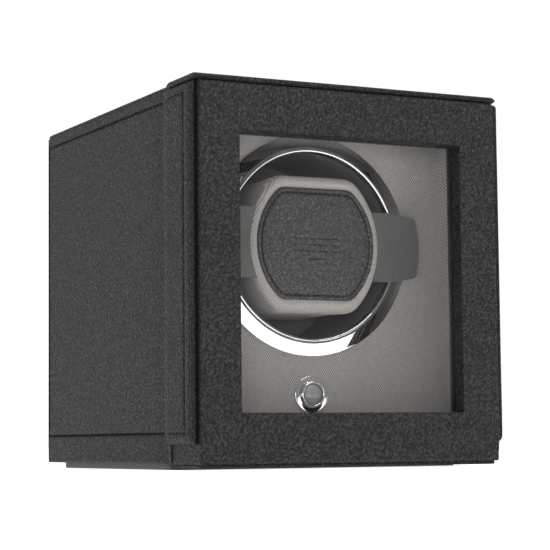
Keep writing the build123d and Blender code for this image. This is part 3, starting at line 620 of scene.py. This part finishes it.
def see_through(name, base, alpha):
    """Clear glass or plastic, seen through by its alpha, with faint smears in its gloss."""
    tree, shader = new_material(name)
    smears = noise_at(tree, place_of(tree), 55, 4)
    vary(tree, shader, "Roughness", smears, (0.35, 0.7), (0.03, 0.066))
    fix(shader, Base_Color=base, Alpha=alpha)
    bump(tree, shader, smears, 0.004)


def frosted_lens(name, dark, light):
    """A milky plastic dome with a wet gloss, in painted shade: pale where it faces the camera and darker
    towards its rim.
    """
    tree, shader = new_material(name)
    cloud = noise_at(tree, place_of(tree), 420)
    # Painted shade: the colour darkens as the dome turns away from the camera.
    rim = node(tree, "LayerWeight", Blend=0.45).outputs["Facing"]
    factor = maths(tree, "ADD", rim, maths(tree, "MULTIPLY", cloud, 0.35), clamp=True)
    tint(tree, shader, factor, light, dark)
    vary(tree, shader, "Roughness", cloud, (0.3, 0.7), (0.04, 0.1))
    fix(shader, Coat_Weight=0.6)
    bump(tree, shader, cloud, 0.01)


def make_materials():
    warm = (1.0, 0.99, 0.98)
    leather("black_leather", grey(0.009), grey(0.023, warm), 1.15, 0.6, wrinkle=0.62, stretch=0.42)
    leather("fine_leather", grey(0.006), grey(0.014, warm), 1.2, 0.34, wrinkle=0.45, stretch=0.6)
    leather("grey_leather", grey(0.047), grey(0.105, (1.0, 0.98, 0.96)), 1.2, 0.14, (0.45, 0.6), 0.4)
    board_fibre("fibreboard", (0.2, 0.13, 0.075, 1), (0.42, 0.3, 0.19, 1))
    twill("taupe_cloth", grey(0.17, (1.06, 1.0, 0.96)), grey(0.5, (1.06, 1.0, 0.96)), 0.8, 0.13)
    twill("cuff_cloth", grey(0.24, (1.07, 1.0, 0.95)), grey(0.56, (1.07, 1.0, 0.94)), 0.85, 0.12)
    felt("black_felt", grey(0.006), grey(0.02))
    metal("chrome", grey(0.74), grey(0.86), (0.03, 0.06), depth=0.0003)
    metal("zinc_steel", grey(0.42), grey(0.62), (0.22, 0.4), (1, 1, 0.1))
    metal("motor_steel", grey(0.38), grey(0.52), (0.2, 0.38), (0.1, 1, 1))
    metal("spring_steel", grey(0.4), grey(0.58), (0.15, 0.3))
    metal("magnet", grey(0.6), grey(0.75), (0.12, 0.24))
    metal("brass", (0.55, 0.38, 0.15, 1), (0.75, 0.56, 0.26, 1), (0.16, 0.3))
    metal("aluminium", grey(0.6), grey(0.76), (0.2, 0.34), (1, 0.1, 1))
    moulded("white_nylon", grey(0.6, (1, 0.98, 0.92)), grey(0.76, (1, 0.98, 0.93)))
    circuit("circuit_board", (0.01, 0.11, 0.04, 1), (0.03, 0.2, 0.07, 1))
    moulded("black_components", grey(0.02), grey(0.035))
    moulded("black_plastic", grey(0.012), grey(0.022), (0.36, 0.5))
    metal("black_screws", grey(0.03), grey(0.06), (0.25, 0.4))
    sand = (1.03, 1, 0.96)
    moulded("drum_plastic", grey(0.12, sand), grey(0.16, sand), (0.42, 0.5), 0.8, 0.004)
    sand = (1.02, 1.0, 0.97)
    moulded("grey_plastic", grey(0.1, sand), grey(0.118, sand), (0.36, 0.42), 0.8, 0.004)
    moulded("battery_jacket", (0.12, 0.14, 0.17, 1), (0.2, 0.22, 0.26, 1), (0.25, 0.35))
    moulded("red_wire", (0.3, 0.015, 0.015, 1), (0.42, 0.025, 0.02, 1), (0.3, 0.4))
    see_through("window_glass", (0.3, 0.31, 0.31, 1), 0.025)
    frosted_lens("clear_lens", grey(0.16), grey(0.42, (0.97, 0.99, 1.02)))
    sewing_thread("stitch_thread")


def dress_frame():
    """Every CAD node that stays takes the finish of its own slot."""
    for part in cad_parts.values():
        for index, old in enumerate(part.data.materials):
            part.data.materials[index] = materials[old.name.split(".")[0]]


# The door

def face_leather():
    """The front skin: rolled over the board's edge, slightly full between edge and window, and turned in."""
    across_and_up = [0, 2]
    low, high, window_low, window_high = (
        corner[across_and_up] for corner in (FACE_LOW, FACE_HIGH, WINDOW_LOW, WINDOW_HIGH)
    )
    sharp = (0.25,) * 4
    side = 70
    rings = [frame_ring(low, high, FACE_CORNERS, outset, depth, side) for outset, depth in FACE_EDGE]
    start = rings[-1]
    end = frame_ring(window_low, window_high, sharp, 0.75, 0.03, side)
    for share in np.linspace(0, 1, 16)[1:-1]:
        ring = start + (end - start) * share
        ring[:, 1] -= FACE_FULLNESS * math.sin(math.pi * share)
        ring[:, 1] += waves(ring, 9.0, 0.05)
        rings.append(ring)
    rings.append(end)
    for outset, depth in (*WINDOW_LIP, (0.8, GLASS_DEPTH), (0.8, SKIN_BACK)):
        rings.append(frame_ring(window_low, window_high, sharp, outset, depth, side))
    rings.append(frame_ring(low, high, FACE_CORNERS, -1.2, SKIN_BACK, side))
    points, faces = join_rings(rings, closed=True)
    points[:, 2] += np.where(points[:, 2] < 10, waves(points, 17.0, 0.12, 2.0), 0)
    add_piece("face_leather", (points, faces), "black_leather", "door", ["door_face_leather"], 60)


def ridge(distance, shape):
    """A soft ridge, or a groove where its amount is negative. shape is (amount, middle, width)."""
    amount, middle, width = shape
    return amount * np.exp(-(((distance - middle) / width) ** 2))


def strip_height(depth, z, thick):
    """The side strips of the door: a full front roll with a bead on its edge, and rounded ends."""
    from_front = depth - STRIP_START
    ends = roll(z - PAD_LOW[2], 3.4, 2.4) * roll(PAD_HIGH[2] - z, 1.6, 2.4)
    height = thick * roll(from_front, STRIP_ROLL, 2.1) * roll(DOOR_REAR - depth, 0.7) * (0.18 + 0.82 * ends)
    height += ridge(from_front, STRIP_CREASE) * ends
    height += ridge(from_front, STRIP_BEAD) * ends
    height += ridge(from_front, STRIP_SWELL)
    inside = (z > STITCH_BOTTOM - 1) & (z < STITCH_TOP + 1)
    height -= channel(depth - STITCH_FRONT, z - STITCH_BOTTOM) * inside
    behind = depth > STITCH_FRONT
    for line in (STITCH_BOTTOM, STITCH_TOP):
        height -= channel(z - line, depth - STITCH_FRONT) * behind
    return height


def side_strips():
    threads = []
    for side, name in SIDES:
        inner = PAD_LOW[0]
        thick = PAD_HIGH[0] - inner

        def place(depth, z, height):
            low_down = 1 - np.clip(height / thick, 0, 1)
            near_front = np.clip(1 - (depth - STRIP_START) / 6, 0, 1)
            setback = STRIP_SETBACK * low_down**1.5 * near_front
            return np.stack([side * (inner + height), FRONT + depth + setback, z], 1)

        def full(depth, z):
            spots = np.stack([depth * 0, depth, z], 1)
            edge = roll(depth - STRIP_START, 4.0) * roll(z - PAD_LOW[2], 5.0) * roll(PAD_HIGH[2] - z, 5.0)
            return np.maximum(strip_height(depth, z, thick) + waves(spots, 6.0, 0.05, side) * edge, 0.02)

        marks = [STRIP_START + mark for mark in STRIP_FRONT_MARKS]
        marks += [STITCH_FRONT + mark for mark in LINE_MARKS]
        marks += [DOOR_REAR - mark for mark in STRIP_REAR_MARKS]
        depths = spread(STRIP_START, DOOR_REAR, 1.6, marks)
        ends = from_ends(PAD_LOW[2], PAD_HIGH[2], STRIP_END_MARKS)
        heights = spread(PAD_LOW[2], PAD_HIGH[2], 0.8, ends)
        shape = panel(depths, heights, place, full)
        piece = fine_skin(f"{name}_strip", shape, "door", f"door_{name}_pad")

        def surface(depth, z, lift):
            return place(depth, z, strip_height(depth, z, thick) + lift)

        threads += stitch_line(surface, (STITCH_FRONT, STITCH_TOP), (STITCH_FRONT, STITCH_BOTTOM))
        for line in (STITCH_TOP, STITCH_BOTTOM):
            threads += stitch_line(surface, (STITCH_FRONT, line), (DOOR_REAR - 0.4, line))
    add_thread("door_stitches", threads, "door")


def top_pads():
    """The leather-covered pads on the door and on the cabinet, round at their rims like piping."""
    for body, rim in (("door", 0.42), ("case", 0.56)):
        low, high = mm_box(f"{body}_top_pad")
        thick = high[2] - low[2]

        def edges(x, y, radius):
            across = roll(x - low[0], radius, 2.2) * roll(high[0] - x, radius, 2.2)
            return across * roll(y - low[1], radius, 2.2) * roll(high[1] - y, radius, 2.2)

        def place(x, y, height):
            return np.stack([x, y, low[2] + height], 1)

        def full(x, y):
            spots = np.stack([x, y, x * 0], 1)
            inward = np.minimum(np.minimum(x - low[0], high[0] - x), np.minimum(y - low[1], high[1] - y))
            crease = ridge(inward, (0.2, 2.9, 0.6))
            share = rim + (0.97 - rim) * edges(x, y, 1.7)
            return thick * share - crease + waves(spots, 11.0, 0.05) * edges(x, y, 3.0)

        def under(x, y):
            return thick * (rim - 0.01) * (1 - edges(x, y, 1.8))

        marks = (0.03, 0.1, 0.22, 0.4, 0.65, 0.95, 1.3, 1.7, 2.2, 2.6, 2.9, 3.2, 3.7)
        xs, ys = (spread(low[i], high[i], 2.0, from_ends(low[i], high[i], marks)) for i in (0, 1))
        shape = panel(xs, ys, place, full, under=under)
        piece = fine_skin(f"{body}_cap", shape, body, f"{body}_top_pad")


def door_foot():
    """The thin pad under the door."""
    low, high = mm_box("door_bottom_pad")
    profile = [(1.2, low[2] + 0.05), (0.3, low[2] + 0.1), (0.0, low[2] + 0.5)]
    profile += [(0.0, high[2] - 0.5), (0.4, high[2] - 0.05), (2.5, high[2])]
    rings = level_rings(low, high, (2.5, 0.8, 0.8, 2.5), profile, 30)
    piece = add_piece("door_foot", join_rings(rings), "black_leather", "door", ["door_bottom_pad"])


def rim_binding(body, board, depth_span, corner, lips):
    """Leather that wraps the bare edges of boards. lips is how far out each of its two edges ends."""
    board_low, board_high = mm_box(board)
    low = np.array((-board_high[0], board_low[2]))
    high = np.array((board_high[0], board_high[2] - 0.4))
    start, end = depth_span
    profile = [
        (lips[0], start), (0.3, start), (0.42, start + 0.15), (0.5, start + 0.6),
        (0.5, end - 0.6), (0.4, end - 0.15), (0.25, end), (lips[1], end), (lips[1], end - 0.12),
        (0.05, end - 0.12), (0.05, start + 0.12), (lips[0], start + 0.12),
    ]
    rings = [frame_ring(low, high, (corner,) * 4, outset, depth, 40) for outset, depth in profile]
    add_piece(f"{body}_binding", join_rings(rings, closed=True), "black_leather", body)


def bindings():
    rim_binding("door", "door_rails", (1.06, DOOR_REAR + 0.14), 0.4, (-2.4, -2.7))
    rim_binding("case", "case_side_boards", (CASE_FRONT - 0.14, CASE_FRONT + 3.0), 1.0, (-2.9, -0.3))


def hinge_fold():
    """The leather hinge, a curved strip across the seam between the door's strip and the cabinet's side."""
    low, high = mm_box("hinge_leather")
    path = smooth_line([(x, DOOR_REAR + behind) for x, behind in HINGE_PATH], 22)
    across = np.gradient(path, axis=0)
    across /= np.linalg.norm(across, axis=1)[:, None]
    inner = path + HINGE_THICK * np.stack([-across[:, 1], across[:, 0]], 1)
    inner = np.where(inner[:, :1] < path[:, :1] + 0.4, inner, path)
    loop = np.concatenate([path, inner[::-1]])
    heights = spread(low[2] - 2.2, high[2] - 0.2, 1.6)
    rings = [behind_front(-loop[:, 0], loop[:, 1], np.full(len(loop), z)) for z in heights]
    piece = add_piece("hinge_fold", join_rings(rings), "black_leather", None, ["hinge_leather"], 80)
    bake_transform(piece)


def smooth_line(points, count):
    """A smooth line through a few (x, depth) points."""
    points = np.array(points, float)
    padded = np.concatenate([[2 * points[0] - points[1]], points, [2 * points[-1] - points[-2]]])
    line = []
    for t in np.linspace(0, len(points) - 1.0001, count):
        k = int(t)
        u = t - k
        p0, p1, p2, p3 = padded[k : k + 4]
        line.append(0.5 * (2 * p1 + (p2 - p0) * u + (2 * p0 - 5 * p1 + 4 * p2 - p3) * u**2
                           + (3 * p1 - p0 - 3 * p2 + p3) * u**3))
    return np.array(line)


# The cabinet

def side_skins():
    """The cabinet's side leathers, wrapped round its rear corners, with a sewn line near each edge."""
    threads = []
    base_half = SKIN_LOW[0]
    thick = SKIN_HIGH[0] - base_half
    corner_start = DEPTH - CORNER
    bend = math.pi / 2 * (CORNER - thick)
    span_end = corner_start + bend + WRAP_TAIL
    low_z, high_z = SKIN_LOW[2], SKIN_HIGH[2] - 0.5
    for side, name in SIDES:

        def place(along, z, height):
            angle = np.clip((along - corner_start) / (CORNER - thick), 0, math.pi / 2)
            reach = CORNER - thick + height
            x = base_half - (CORNER - thick) + reach * np.cos(angle)
            depth = np.minimum(along, corner_start) + reach * np.sin(angle)
            x = x - np.maximum(along - corner_start - bend, 0)
            return behind_front(side * x, depth, z)

        def smooth(along, z):
            edges = roll(along - CASE_FRONT, 0.9) * roll(z - low_z, 1.1) * roll(high_z - z, 0.9)
            dip = SEAM_DIP[0] * np.exp(-(((along - CASE_FRONT) / SEAM_DIP[1]) ** 1.5))
            return thick * edges - dip * np.minimum(edges, 1)

        def full(along, z):
            height = smooth(along, z)
            spots = np.stack([z * 0, along, z], 1)
            middle = roll(along - CASE_FRONT, 12.0) * roll(span_end - along, 12.0)
            height += waves(spots, 21.0, 0.09, side) * middle
            between = (along < STITCH_REAR + 0.5) & (z > STITCH_BOTTOM - 0.5) & (z < STITCH_TOP + 0.5)
            for line in (STITCH_BOTTOM, STITCH_TOP):
                height -= channel(z - line, along - CASE_FRONT) * (along < STITCH_REAR + 0.5)
            height -= channel(along - STITCH_REAR, z - STITCH_BOTTOM) * between
            return np.maximum(height, 0.02)

        near = (0.06, 0.16, 0.3, 0.5, 0.75, 1.0)
        lines = np.array((-0.9, -0.55, -0.3, 0, 0.3, 0.55, 0.9))
        turns = corner_start + bend * np.linspace(0, 1, 9)
        marks = [*(CASE_FRONT + np.array(near)), *(STITCH_REAR + lines), *turns]
        alongs = spread(CASE_FRONT, span_end, 1.1, marks)
        marks = [*from_ends(low_z, high_z, near), *(STITCH_TOP + lines), *(STITCH_BOTTOM + lines)]
        heights = spread(low_z, high_z, 1.1, marks)
        shape = panel(alongs, heights, place, full)
        fine_skin(f"{name}_side", shape, "case", f"case_{name}_leather")

        def surface(along, z, lift):
            return place(along, z, smooth(along, z) - 0.2 + lift)

        for line in (STITCH_TOP, STITCH_BOTTOM):
            threads += stitch_line(surface, (CASE_FRONT + 1.0, line), (STITCH_REAR, line))
        threads += stitch_line(surface, (STITCH_REAR, STITCH_TOP), (STITCH_REAR, STITCH_BOTTOM))
    add_thread("case_stitches", threads, "case")


def back_skin():
    """The back leather, tucked in behind the side skins and round the battery bay and socket plate."""
    low, high = mm_box("case_back_leather")
    half = SKIN_LOW[0] - (CORNER - 0.9) - WRAP_TAIL + 0.1
    thick = high[1] - low[1]
    holes = []
    for inner in ("battery_tray", "rear_plate"):
        hole_low, hole_high = mm_box(inner)
        holes.append((hole_low[0], hole_high[0], hole_low[2], hole_high[2]))

    def place(x, z, height):
        return np.stack([x, low[1] + height, z], 1)

    def full(x, z):
        across = thick * roll(x + half, 0.8) * roll(half - x, 0.8)
        height = across * roll(z - low[2], 1.0) * roll(high[2] - z, 1.0)
        height += waves(np.stack([x, x * 0, z], 1), 19.0, 0.07)
        for x0, x1, z0, z1 in holes:
            outside_x = np.maximum(np.maximum(x0 - x, x - x1), 0)
            outside_z = np.maximum(np.maximum(z0 - z, z - z1), 0)
            height -= 0.35 * np.exp(-((np.hypot(outside_x, outside_z) / 0.7) ** 2))
        return np.maximum(height, 0.05)

    near = (0.08, 0.2, 0.4, 0.7, 1.0)
    beside = (-0.9, -0.4, 0, 0.4, 0.9)
    x_marks = [edge + mark for hole in holes for edge in hole[:2] for mark in beside]
    z_marks = [edge + mark for hole in holes for edge in hole[2:] for mark in beside]
    xs = spread(-half, half, 2.2, x_marks + from_ends(-half, half, near))
    zs = spread(low[2], high[2], 2.2, z_marks + from_ends(low[2], high[2], near))
    shape = panel(xs, zs, place, full, holes)
    fine_skin("back_skin", shape, "case", "case_back_leather")


def felt_base():
    """The felt pad that the box stands on."""
    low, high = mm_box("base_pad")
    profile = ((2.0, low[2]), (0.5, low[2]), (0.05, low[2] + 0.5), (0.0, low[2] + 1.2), (0.1, high[2]))
    rings = level_rings(low, high, (6.0,) * 4, profile, 36)
    add_piece("felt_base", join_rings(rings), "black_felt", "case", ["base_pad"])


# The drum and its ring

def chrome_ring():
    """A thin bead round the mouth, a fine step, and a broad sloping rim."""
    low, high = mm_box("drum_ring")
    base = high[0]
    lip, back = depths(low, high)
    rim = mm_box("fascia_cloth")[0][1] - FRONT - 0.3
    inner = mm_box("drum_cup")[1][0] - 2.0
    profile = [(inner, back), (inner, lip + 1.0)]
    profile += arc((inner + 0.8, lip + 0.8), 0.8, 180, 350, 14)
    profile += [(inner + 1.66, lip + 0.86), (inner + 1.78, lip + 1.02), (inner + 2.0, lip + 1.1)]
    start = np.array((inner + 2.3, lip + 1.14))
    end = np.array((base - 0.35, rim - 0.45))
    for share in np.linspace(0, 1, 14):
        spot = start + (end - start) * share
        profile.append((spot[0], spot[1] - 0.05 * math.sin(math.pi * share)))
    profile += arc((base - 0.3, rim - 0.18), 0.3, -60, 0, 5)
    profile += [(base, rim), (inner + 2.0, rim), (inner + 2.0, back)]
    add_piece("chrome_ring", lathe(profile, AXIS_Z, 256), "chrome", "rotor", ["drum_ring"], 40)


# The cuff

def walk_round(loop):
    """The length of a closed loop, and a function that gives the spots at distances along it."""
    steps = np.linalg.norm(np.roll(loop, -1, 0) - loop, axis=1)
    reached = np.concatenate([[0], np.cumsum(steps)])
    closed = np.concatenate([loop, loop[:1]])

    def spots_at(distances):
        return np.stack([np.interp(distances, reached, closed[:, i]) for i in (0, 1)], 1)

    return reached[-1], spots_at


def cuff_loop(half_width, half_height, flat, count, soften):
    """Flat at the top and bottom, bowed at the sides, with corners softened by averaging."""
    rise = half_width - flat
    radius = (half_height**2 + rise**2) / (2 * rise)
    reach = math.asin(half_height / radius)
    dense = 400
    sweep = np.linspace(-reach, reach, dense)
    right = np.stack([half_width - radius + radius * np.cos(sweep), radius * np.sin(sweep)], 1)
    line = np.linspace(flat, -flat, dense)[1:-1]
    top = np.stack([line, np.full(len(line), half_height)], 1)
    loop = np.concatenate([right, top, -right, -top])
    length, spots_at = walk_round(loop)
    loop = spots_at(np.linspace(0, length, count, endpoint=False))
    for _ in range(soften):
        loop = (np.roll(loop, 1, 0) + 2 * loop + np.roll(loop, -1, 0)) / 4
    return loop


def inset_loop(loop, amount):
    """The loop moved inwards."""
    along = np.roll(loop, -1, 0) - np.roll(loop, 1, 0)
    along /= np.linalg.norm(along, axis=1)[:, None]
    return loop - amount * np.stack([along[:, 1], -along[:, 0]], 1)


def loop_stack(loop, profile):
    """Rings of a loop, each at an inset and a depth."""
    rings = []
    for inset, depth in profile:
        ring = inset_loop(loop, inset)
        rings.append(behind_front(ring[:, 0], depth, AXIS_Z + ring[:, 1]))
    return rings


def cuff_sleeve():
    """The cloth sleeve over the cuff's foam: a full front edge, sides that pull in, and an open back."""
    low, high = mm_box("cuff_sleeve")
    front, rear = depths(low, high)
    loop = cuff_loop(high[0], (high[2] - low[2]) / 2, 18.0, 240, 26)
    profile = [(9.0, front + 1.4), (6.4, front + 1.1), (5.4, front + 0.7), (4.3, front + 0.15)]
    profile += [(3.2, front - 0.06), (2.2, front + 0.12), (1.3, front + 0.62), (0.6, front + 1.4)]
    profile += [(0.18, front + 2.4), (0.0, front + 3.8), (0.15, front + 9), (0.5, front + 17)]
    profile += [(0.2, rear - 5), (0.3, rear - 1.5), (1.2, rear - 0.3), (6.0, rear)]
    points, faces = join_rings(loop_stack(loop, profile))
    points[:, 1] += waves(points, 5.0, 0.07) * (points[:, 1] < FRONT + front + 4)
    piece = add_piece("cuff_cover", (points, faces), "cuff_cloth", "cuff", ["cuff_sleeve"], 80)


def emblem(x, z):
    """Four plain groups of three bars over a short line, pressed in: 1 inside the marks and 0 outside."""
    across = x - (np.clip(np.floor(x / BAR_PITCH[0]), -2, 1) + 0.5) * BAR_PITCH[0]
    up = z - np.clip(np.round(z / BAR_PITCH[1]), -1, 1) * BAR_PITCH[1]
    bars = np.exp(-((across / BAR_HALF[0]) ** 14) - (up / BAR_HALF[1]) ** 4)
    line = np.exp(-((x / LINE_REACH) ** 14) - ((z - LINE_Z) / BAR_HALF[1]) ** 4)
    return np.maximum(bars, line)


def cuff_patch():
    """The leather patch on the cuff's front: a cut edge, a raised welt, a sewn line and a full middle."""
    low, high = mm_box("cuff_face_leather")
    half_width = high[0]
    half_height = (high[2] - low[2]) / 2
    back = high[1] - FRONT
    loop = cuff_loop(half_width, half_height, 16.2, 720, 90)
    order = np.argsort(loop[:, 1])
    right = loop[order][loop[order][:, 0] > 0]
    quarter = math.pi / 2
    rows = half_height * np.sin(np.linspace(-quarter, quarter, int(math.pi * half_height / PATCH_STEP)))
    rows = np.clip(rows, right[0, 1] + 0.001, right[-1, 1] - 0.001)
    columns = np.sin(np.linspace(-quarter, quarter, int(math.pi * half_width / PATCH_STEP)))

    def reach(z):
        return np.interp(z, right[:, 1], right[:, 0])

    def place(u, z, height):
        return np.stack([u * reach(z), FRONT + back + 0.05 - height, AXIS_Z + z], 1)

    def edge_distance(u, z):
        spots = np.stack([u * reach(z), z], 1)
        nearest = np.full(len(spots), 99.0)
        for point in loop:
            nearest = np.minimum(nearest, np.hypot(*(spots - point).T))
        return nearest

    def full(u, z):
        edge = edge_distance(u, z)
        height = 0.68 * roll(edge, 0.55) + ridge(edge, (0.24, 1.0, 0.6))
        height += ridge(edge, (-0.55, PATCH_SEAM, 0.5))
        height += 0.5 * roll(np.maximum(edge - PATCH_SEAM - 0.3, 0), 9.0)
        height -= 0.8 * emblem(u * reach(z), z)
        return np.maximum(height, 0.02)

    shape = panel(columns, rows, place, full)
    piece = add_piece("cuff_patch", shape, "grey_leather", "cuff", ["cuff_face_leather"], 80)

    length, spots_at = walk_round(inset_loop(loop, PATCH_SEAM))
    count = round(length / PATCH_STITCH)
    threads = []
    for k in range(count):
        xs, zs = spots_at((k + 0.5 + np.linspace(-0.36, 0.36, 7)) * length / count).T
        share = np.linspace(-0.5, 0.5, 7)
        lift = 0.48 - 1.6 * share**2
        path = np.stack([xs, FRONT + back + 0.05 - lift, AXIS_Z + zs], 1)
        threads.append(tube(path, 0.2 * (1.15 - 1.4 * share**2), 7))
    add_thread("cuff_stitches", threads, "cuff")


def cuff_back():
    low, high = mm_box("cuff_back_pad")
    front, rear = depths(low, high)
    loop = cuff_loop(high[0], (high[2] - low[2]) / 2, 18.0, 220, 26)
    profile = [(6.0, front), (0.9, front), (0.25, front + 0.7), (0.0, front + 2.2), (0.2, front + 3.6)]
    profile += [(0.9, rear - 1.0), (2.2, rear - 0.25), (5.0, rear)]
    shape = join_rings(loop_stack(loop, profile))
    piece = add_piece("cuff_back", shape, "cuff_cloth", "cuff_back", ["cuff_back_pad"], 80)


def coil(radius, wire, low, high, z):
    """A compression spring along Y that fills a box's depth."""
    start, end = depths(low, high)
    share = np.linspace(0, 1, int(COIL_TURNS * 20))
    angle = 2 * math.pi * COIL_TURNS * share
    depth = start + wire / 2 + (end - start - wire) * share
    path = behind_front(radius * np.cos(angle), depth, z + radius * np.sin(angle))
    return tube(path, wire / 2, 10)


def springs():
    low, high = mm_box("cuff_springs")
    offset = (high[2] - low[2]) / 2 - 3.5
    parts = [coil(3.2, 0.6, low, high, AXIS_Z + rise * offset) for rise in (-1, 1)]
    piece = add_piece("cuff_coils", merge(parts), "spring_steel", "cuff", ["cuff_springs"])
    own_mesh(piece)

    low, high = mm_box("button_spring")
    shape = coil(3.9, 0.5, low, high, BUTTON_Z)
    piece = add_piece("button_coil", shape, "spring_steel", "case", ["button_spring"])
    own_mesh(piece)


# The button

def push_button():
    """A flanged bezel with a proud inner ring, round a domed lens."""
    low, high = mm_box("button_bezel")
    flange = high[0]
    front = low[1] - FRONT
    ring = 5.4
    bore = 4.3
    face = mm_box("fascia_cloth")[0][1] - FRONT
    profile = [(bore, front + 3.2), (bore, front + 0.55)]
    profile += arc(((bore + ring) / 2, front + 0.55), (ring - bore) / 2, 180, 360, 14)
    profile += [(ring, face - 1.0), (ring + 0.12, face - 0.86), (flange - 0.5, face - 0.62)]
    profile += arc((flange - 0.4, face - 0.25), 0.4, 285, 360, 7)
    profile += [(flange, face), (6.0, face), (6.0, 47.0), (2.6, 47.0), (2.6, 46.2), (5.2, 46.2)]
    profile.append((5.2, front + 3.2))
    add_piece("bezel", lathe(profile, BUTTON_Z, 96), "chrome", "case", ["button_bezel"], 35)

    low, high = mm_box("button_lens")
    front, rear = depths(low, high)
    radius = bore - 0.1
    profile = [(0.0, front)]
    for angle in np.linspace(0.02, math.pi / 2, 16):
        profile.append((radius * math.sin(angle), front + 1.6 * (1 - math.cos(angle) ** 0.8)))
    profile += [(radius, 38.9), (4.9, 38.9), (4.9, 40.2), (2.0, 40.2), (2.0, rear), (0.0, rear)]
    add_piece("lens", lathe(profile, BUTTON_Z, 96, closed=False), "clear_lens", "button", ["button_lens"], 40)


def soften_edges():
    """A small bevel on hard parts."""
    for name, width in BEVELS.items():
        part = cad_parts[name]
        bevel = part.modifiers.new("edge", "BEVEL")
        bevel.width = width * MM
        bevel.segments = 3
        bevel.limit_method = "ANGLE"
        bevel.angle_limit = math.radians(40)


# The studio

def camera():
    """Low and to the left of the front, looking slightly up."""
    yaw = Matrix.Rotation(math.radians(-CAMERA_YAW), 4, "Z")
    pitch = Matrix.Rotation(math.radians(90 + CAMERA_PITCH), 4, "X")
    tilt = Matrix.Rotation(math.radians(CAMERA_TILT), 4, "Z")
    lens = bpy.data.cameras.new("camera")
    lens.lens = CAMERA_LENS
    lens.clip_start = 0.01
    eye = add_object("camera", lens)
    eye.matrix_world = Matrix.Translation(CAMERA_PLACE) @ yaw @ pitch @ tilt
    bpy.context.scene.camera = eye


def softbox(name, place, aim, size, power):
    lamp = bpy.data.lights.new(name, "AREA")
    lamp.shape = "RECTANGLE"
    lamp.size, lamp.size_y = size
    lamp.energy = power
    holder = add_object(name, lamp)
    holder.location = place
    holder.rotation_euler = (Vector(aim) - Vector(place)).to_track_quat("-Z", "Y").to_euler()


def surround():
    """A world that is pale on the far side and dimmer behind the camera."""
    world = bpy.data.worlds.new("surround")
    bpy.context.scene.world = world
    world.use_nodes = True
    tree = world.node_tree
    ahead = dot(tree, node(tree, "TexCoord").outputs["Generated"], PALE_SIDE)
    shade = blend_colours(tree, rescale(tree, ahead, 0.6, 0.94), grey(0.26), grey(1.05))
    tree.links.new(shade, tree.nodes["Background"].inputs["Color"])


def floor():
    """A pale floor that glows towards its edges, so that no horizon shows."""
    ground = bpy.data.meshes.new("floor")
    count = FLOOR_CELLS + 1
    steps = np.linspace(-FLOOR_HALF, FLOOR_HALF, count)
    corners = [(x, y, 0.0) for x in steps for y in steps]
    firsts = [i * count + j for i in range(FLOOR_CELLS) for j in range(FLOOR_CELLS)]
    quads = [(first, first + count, first + count + 1, first + 1) for first in firsts]
    ground.from_pydata(corners, [], quads)
    tree, shader = new_material("floor")
    speckle = noise_at(tree, place_of(tree), 30)
    tint(tree, shader, speckle, grey(0.93), grey(0.96))
    away = node(tree, "VectorMath", {"operation": "LENGTH"}, Vector=place_of(tree)).outputs["Value"]
    vary(tree, shader, "Emission Strength", away, (0.1, 1.6), (0.75, 1.0))
    fix(shader, Emission_Color=grey(1.0), Roughness=0.6, Specular_IOR_Level=0.3)
    ground.materials.append(materials["floor"])
    piece = add_object("floor", ground)


camera()
make_materials()
dress_frame()
face_leather()
side_strips()
top_pads()
door_foot()
bindings()
hinge_fold()
side_skins()
back_skin()
felt_base()
chrome_ring()
cuff_sleeve()
cuff_patch()
cuff_back()
springs()
push_button()
soften_edges()
surround()
for lamp_settings in LAMPS:
    softbox(*lamp_settings)
floor()
bpy.context.scene.view_settings.view_transform = "Standard"

bpy.context.view_layer.update()
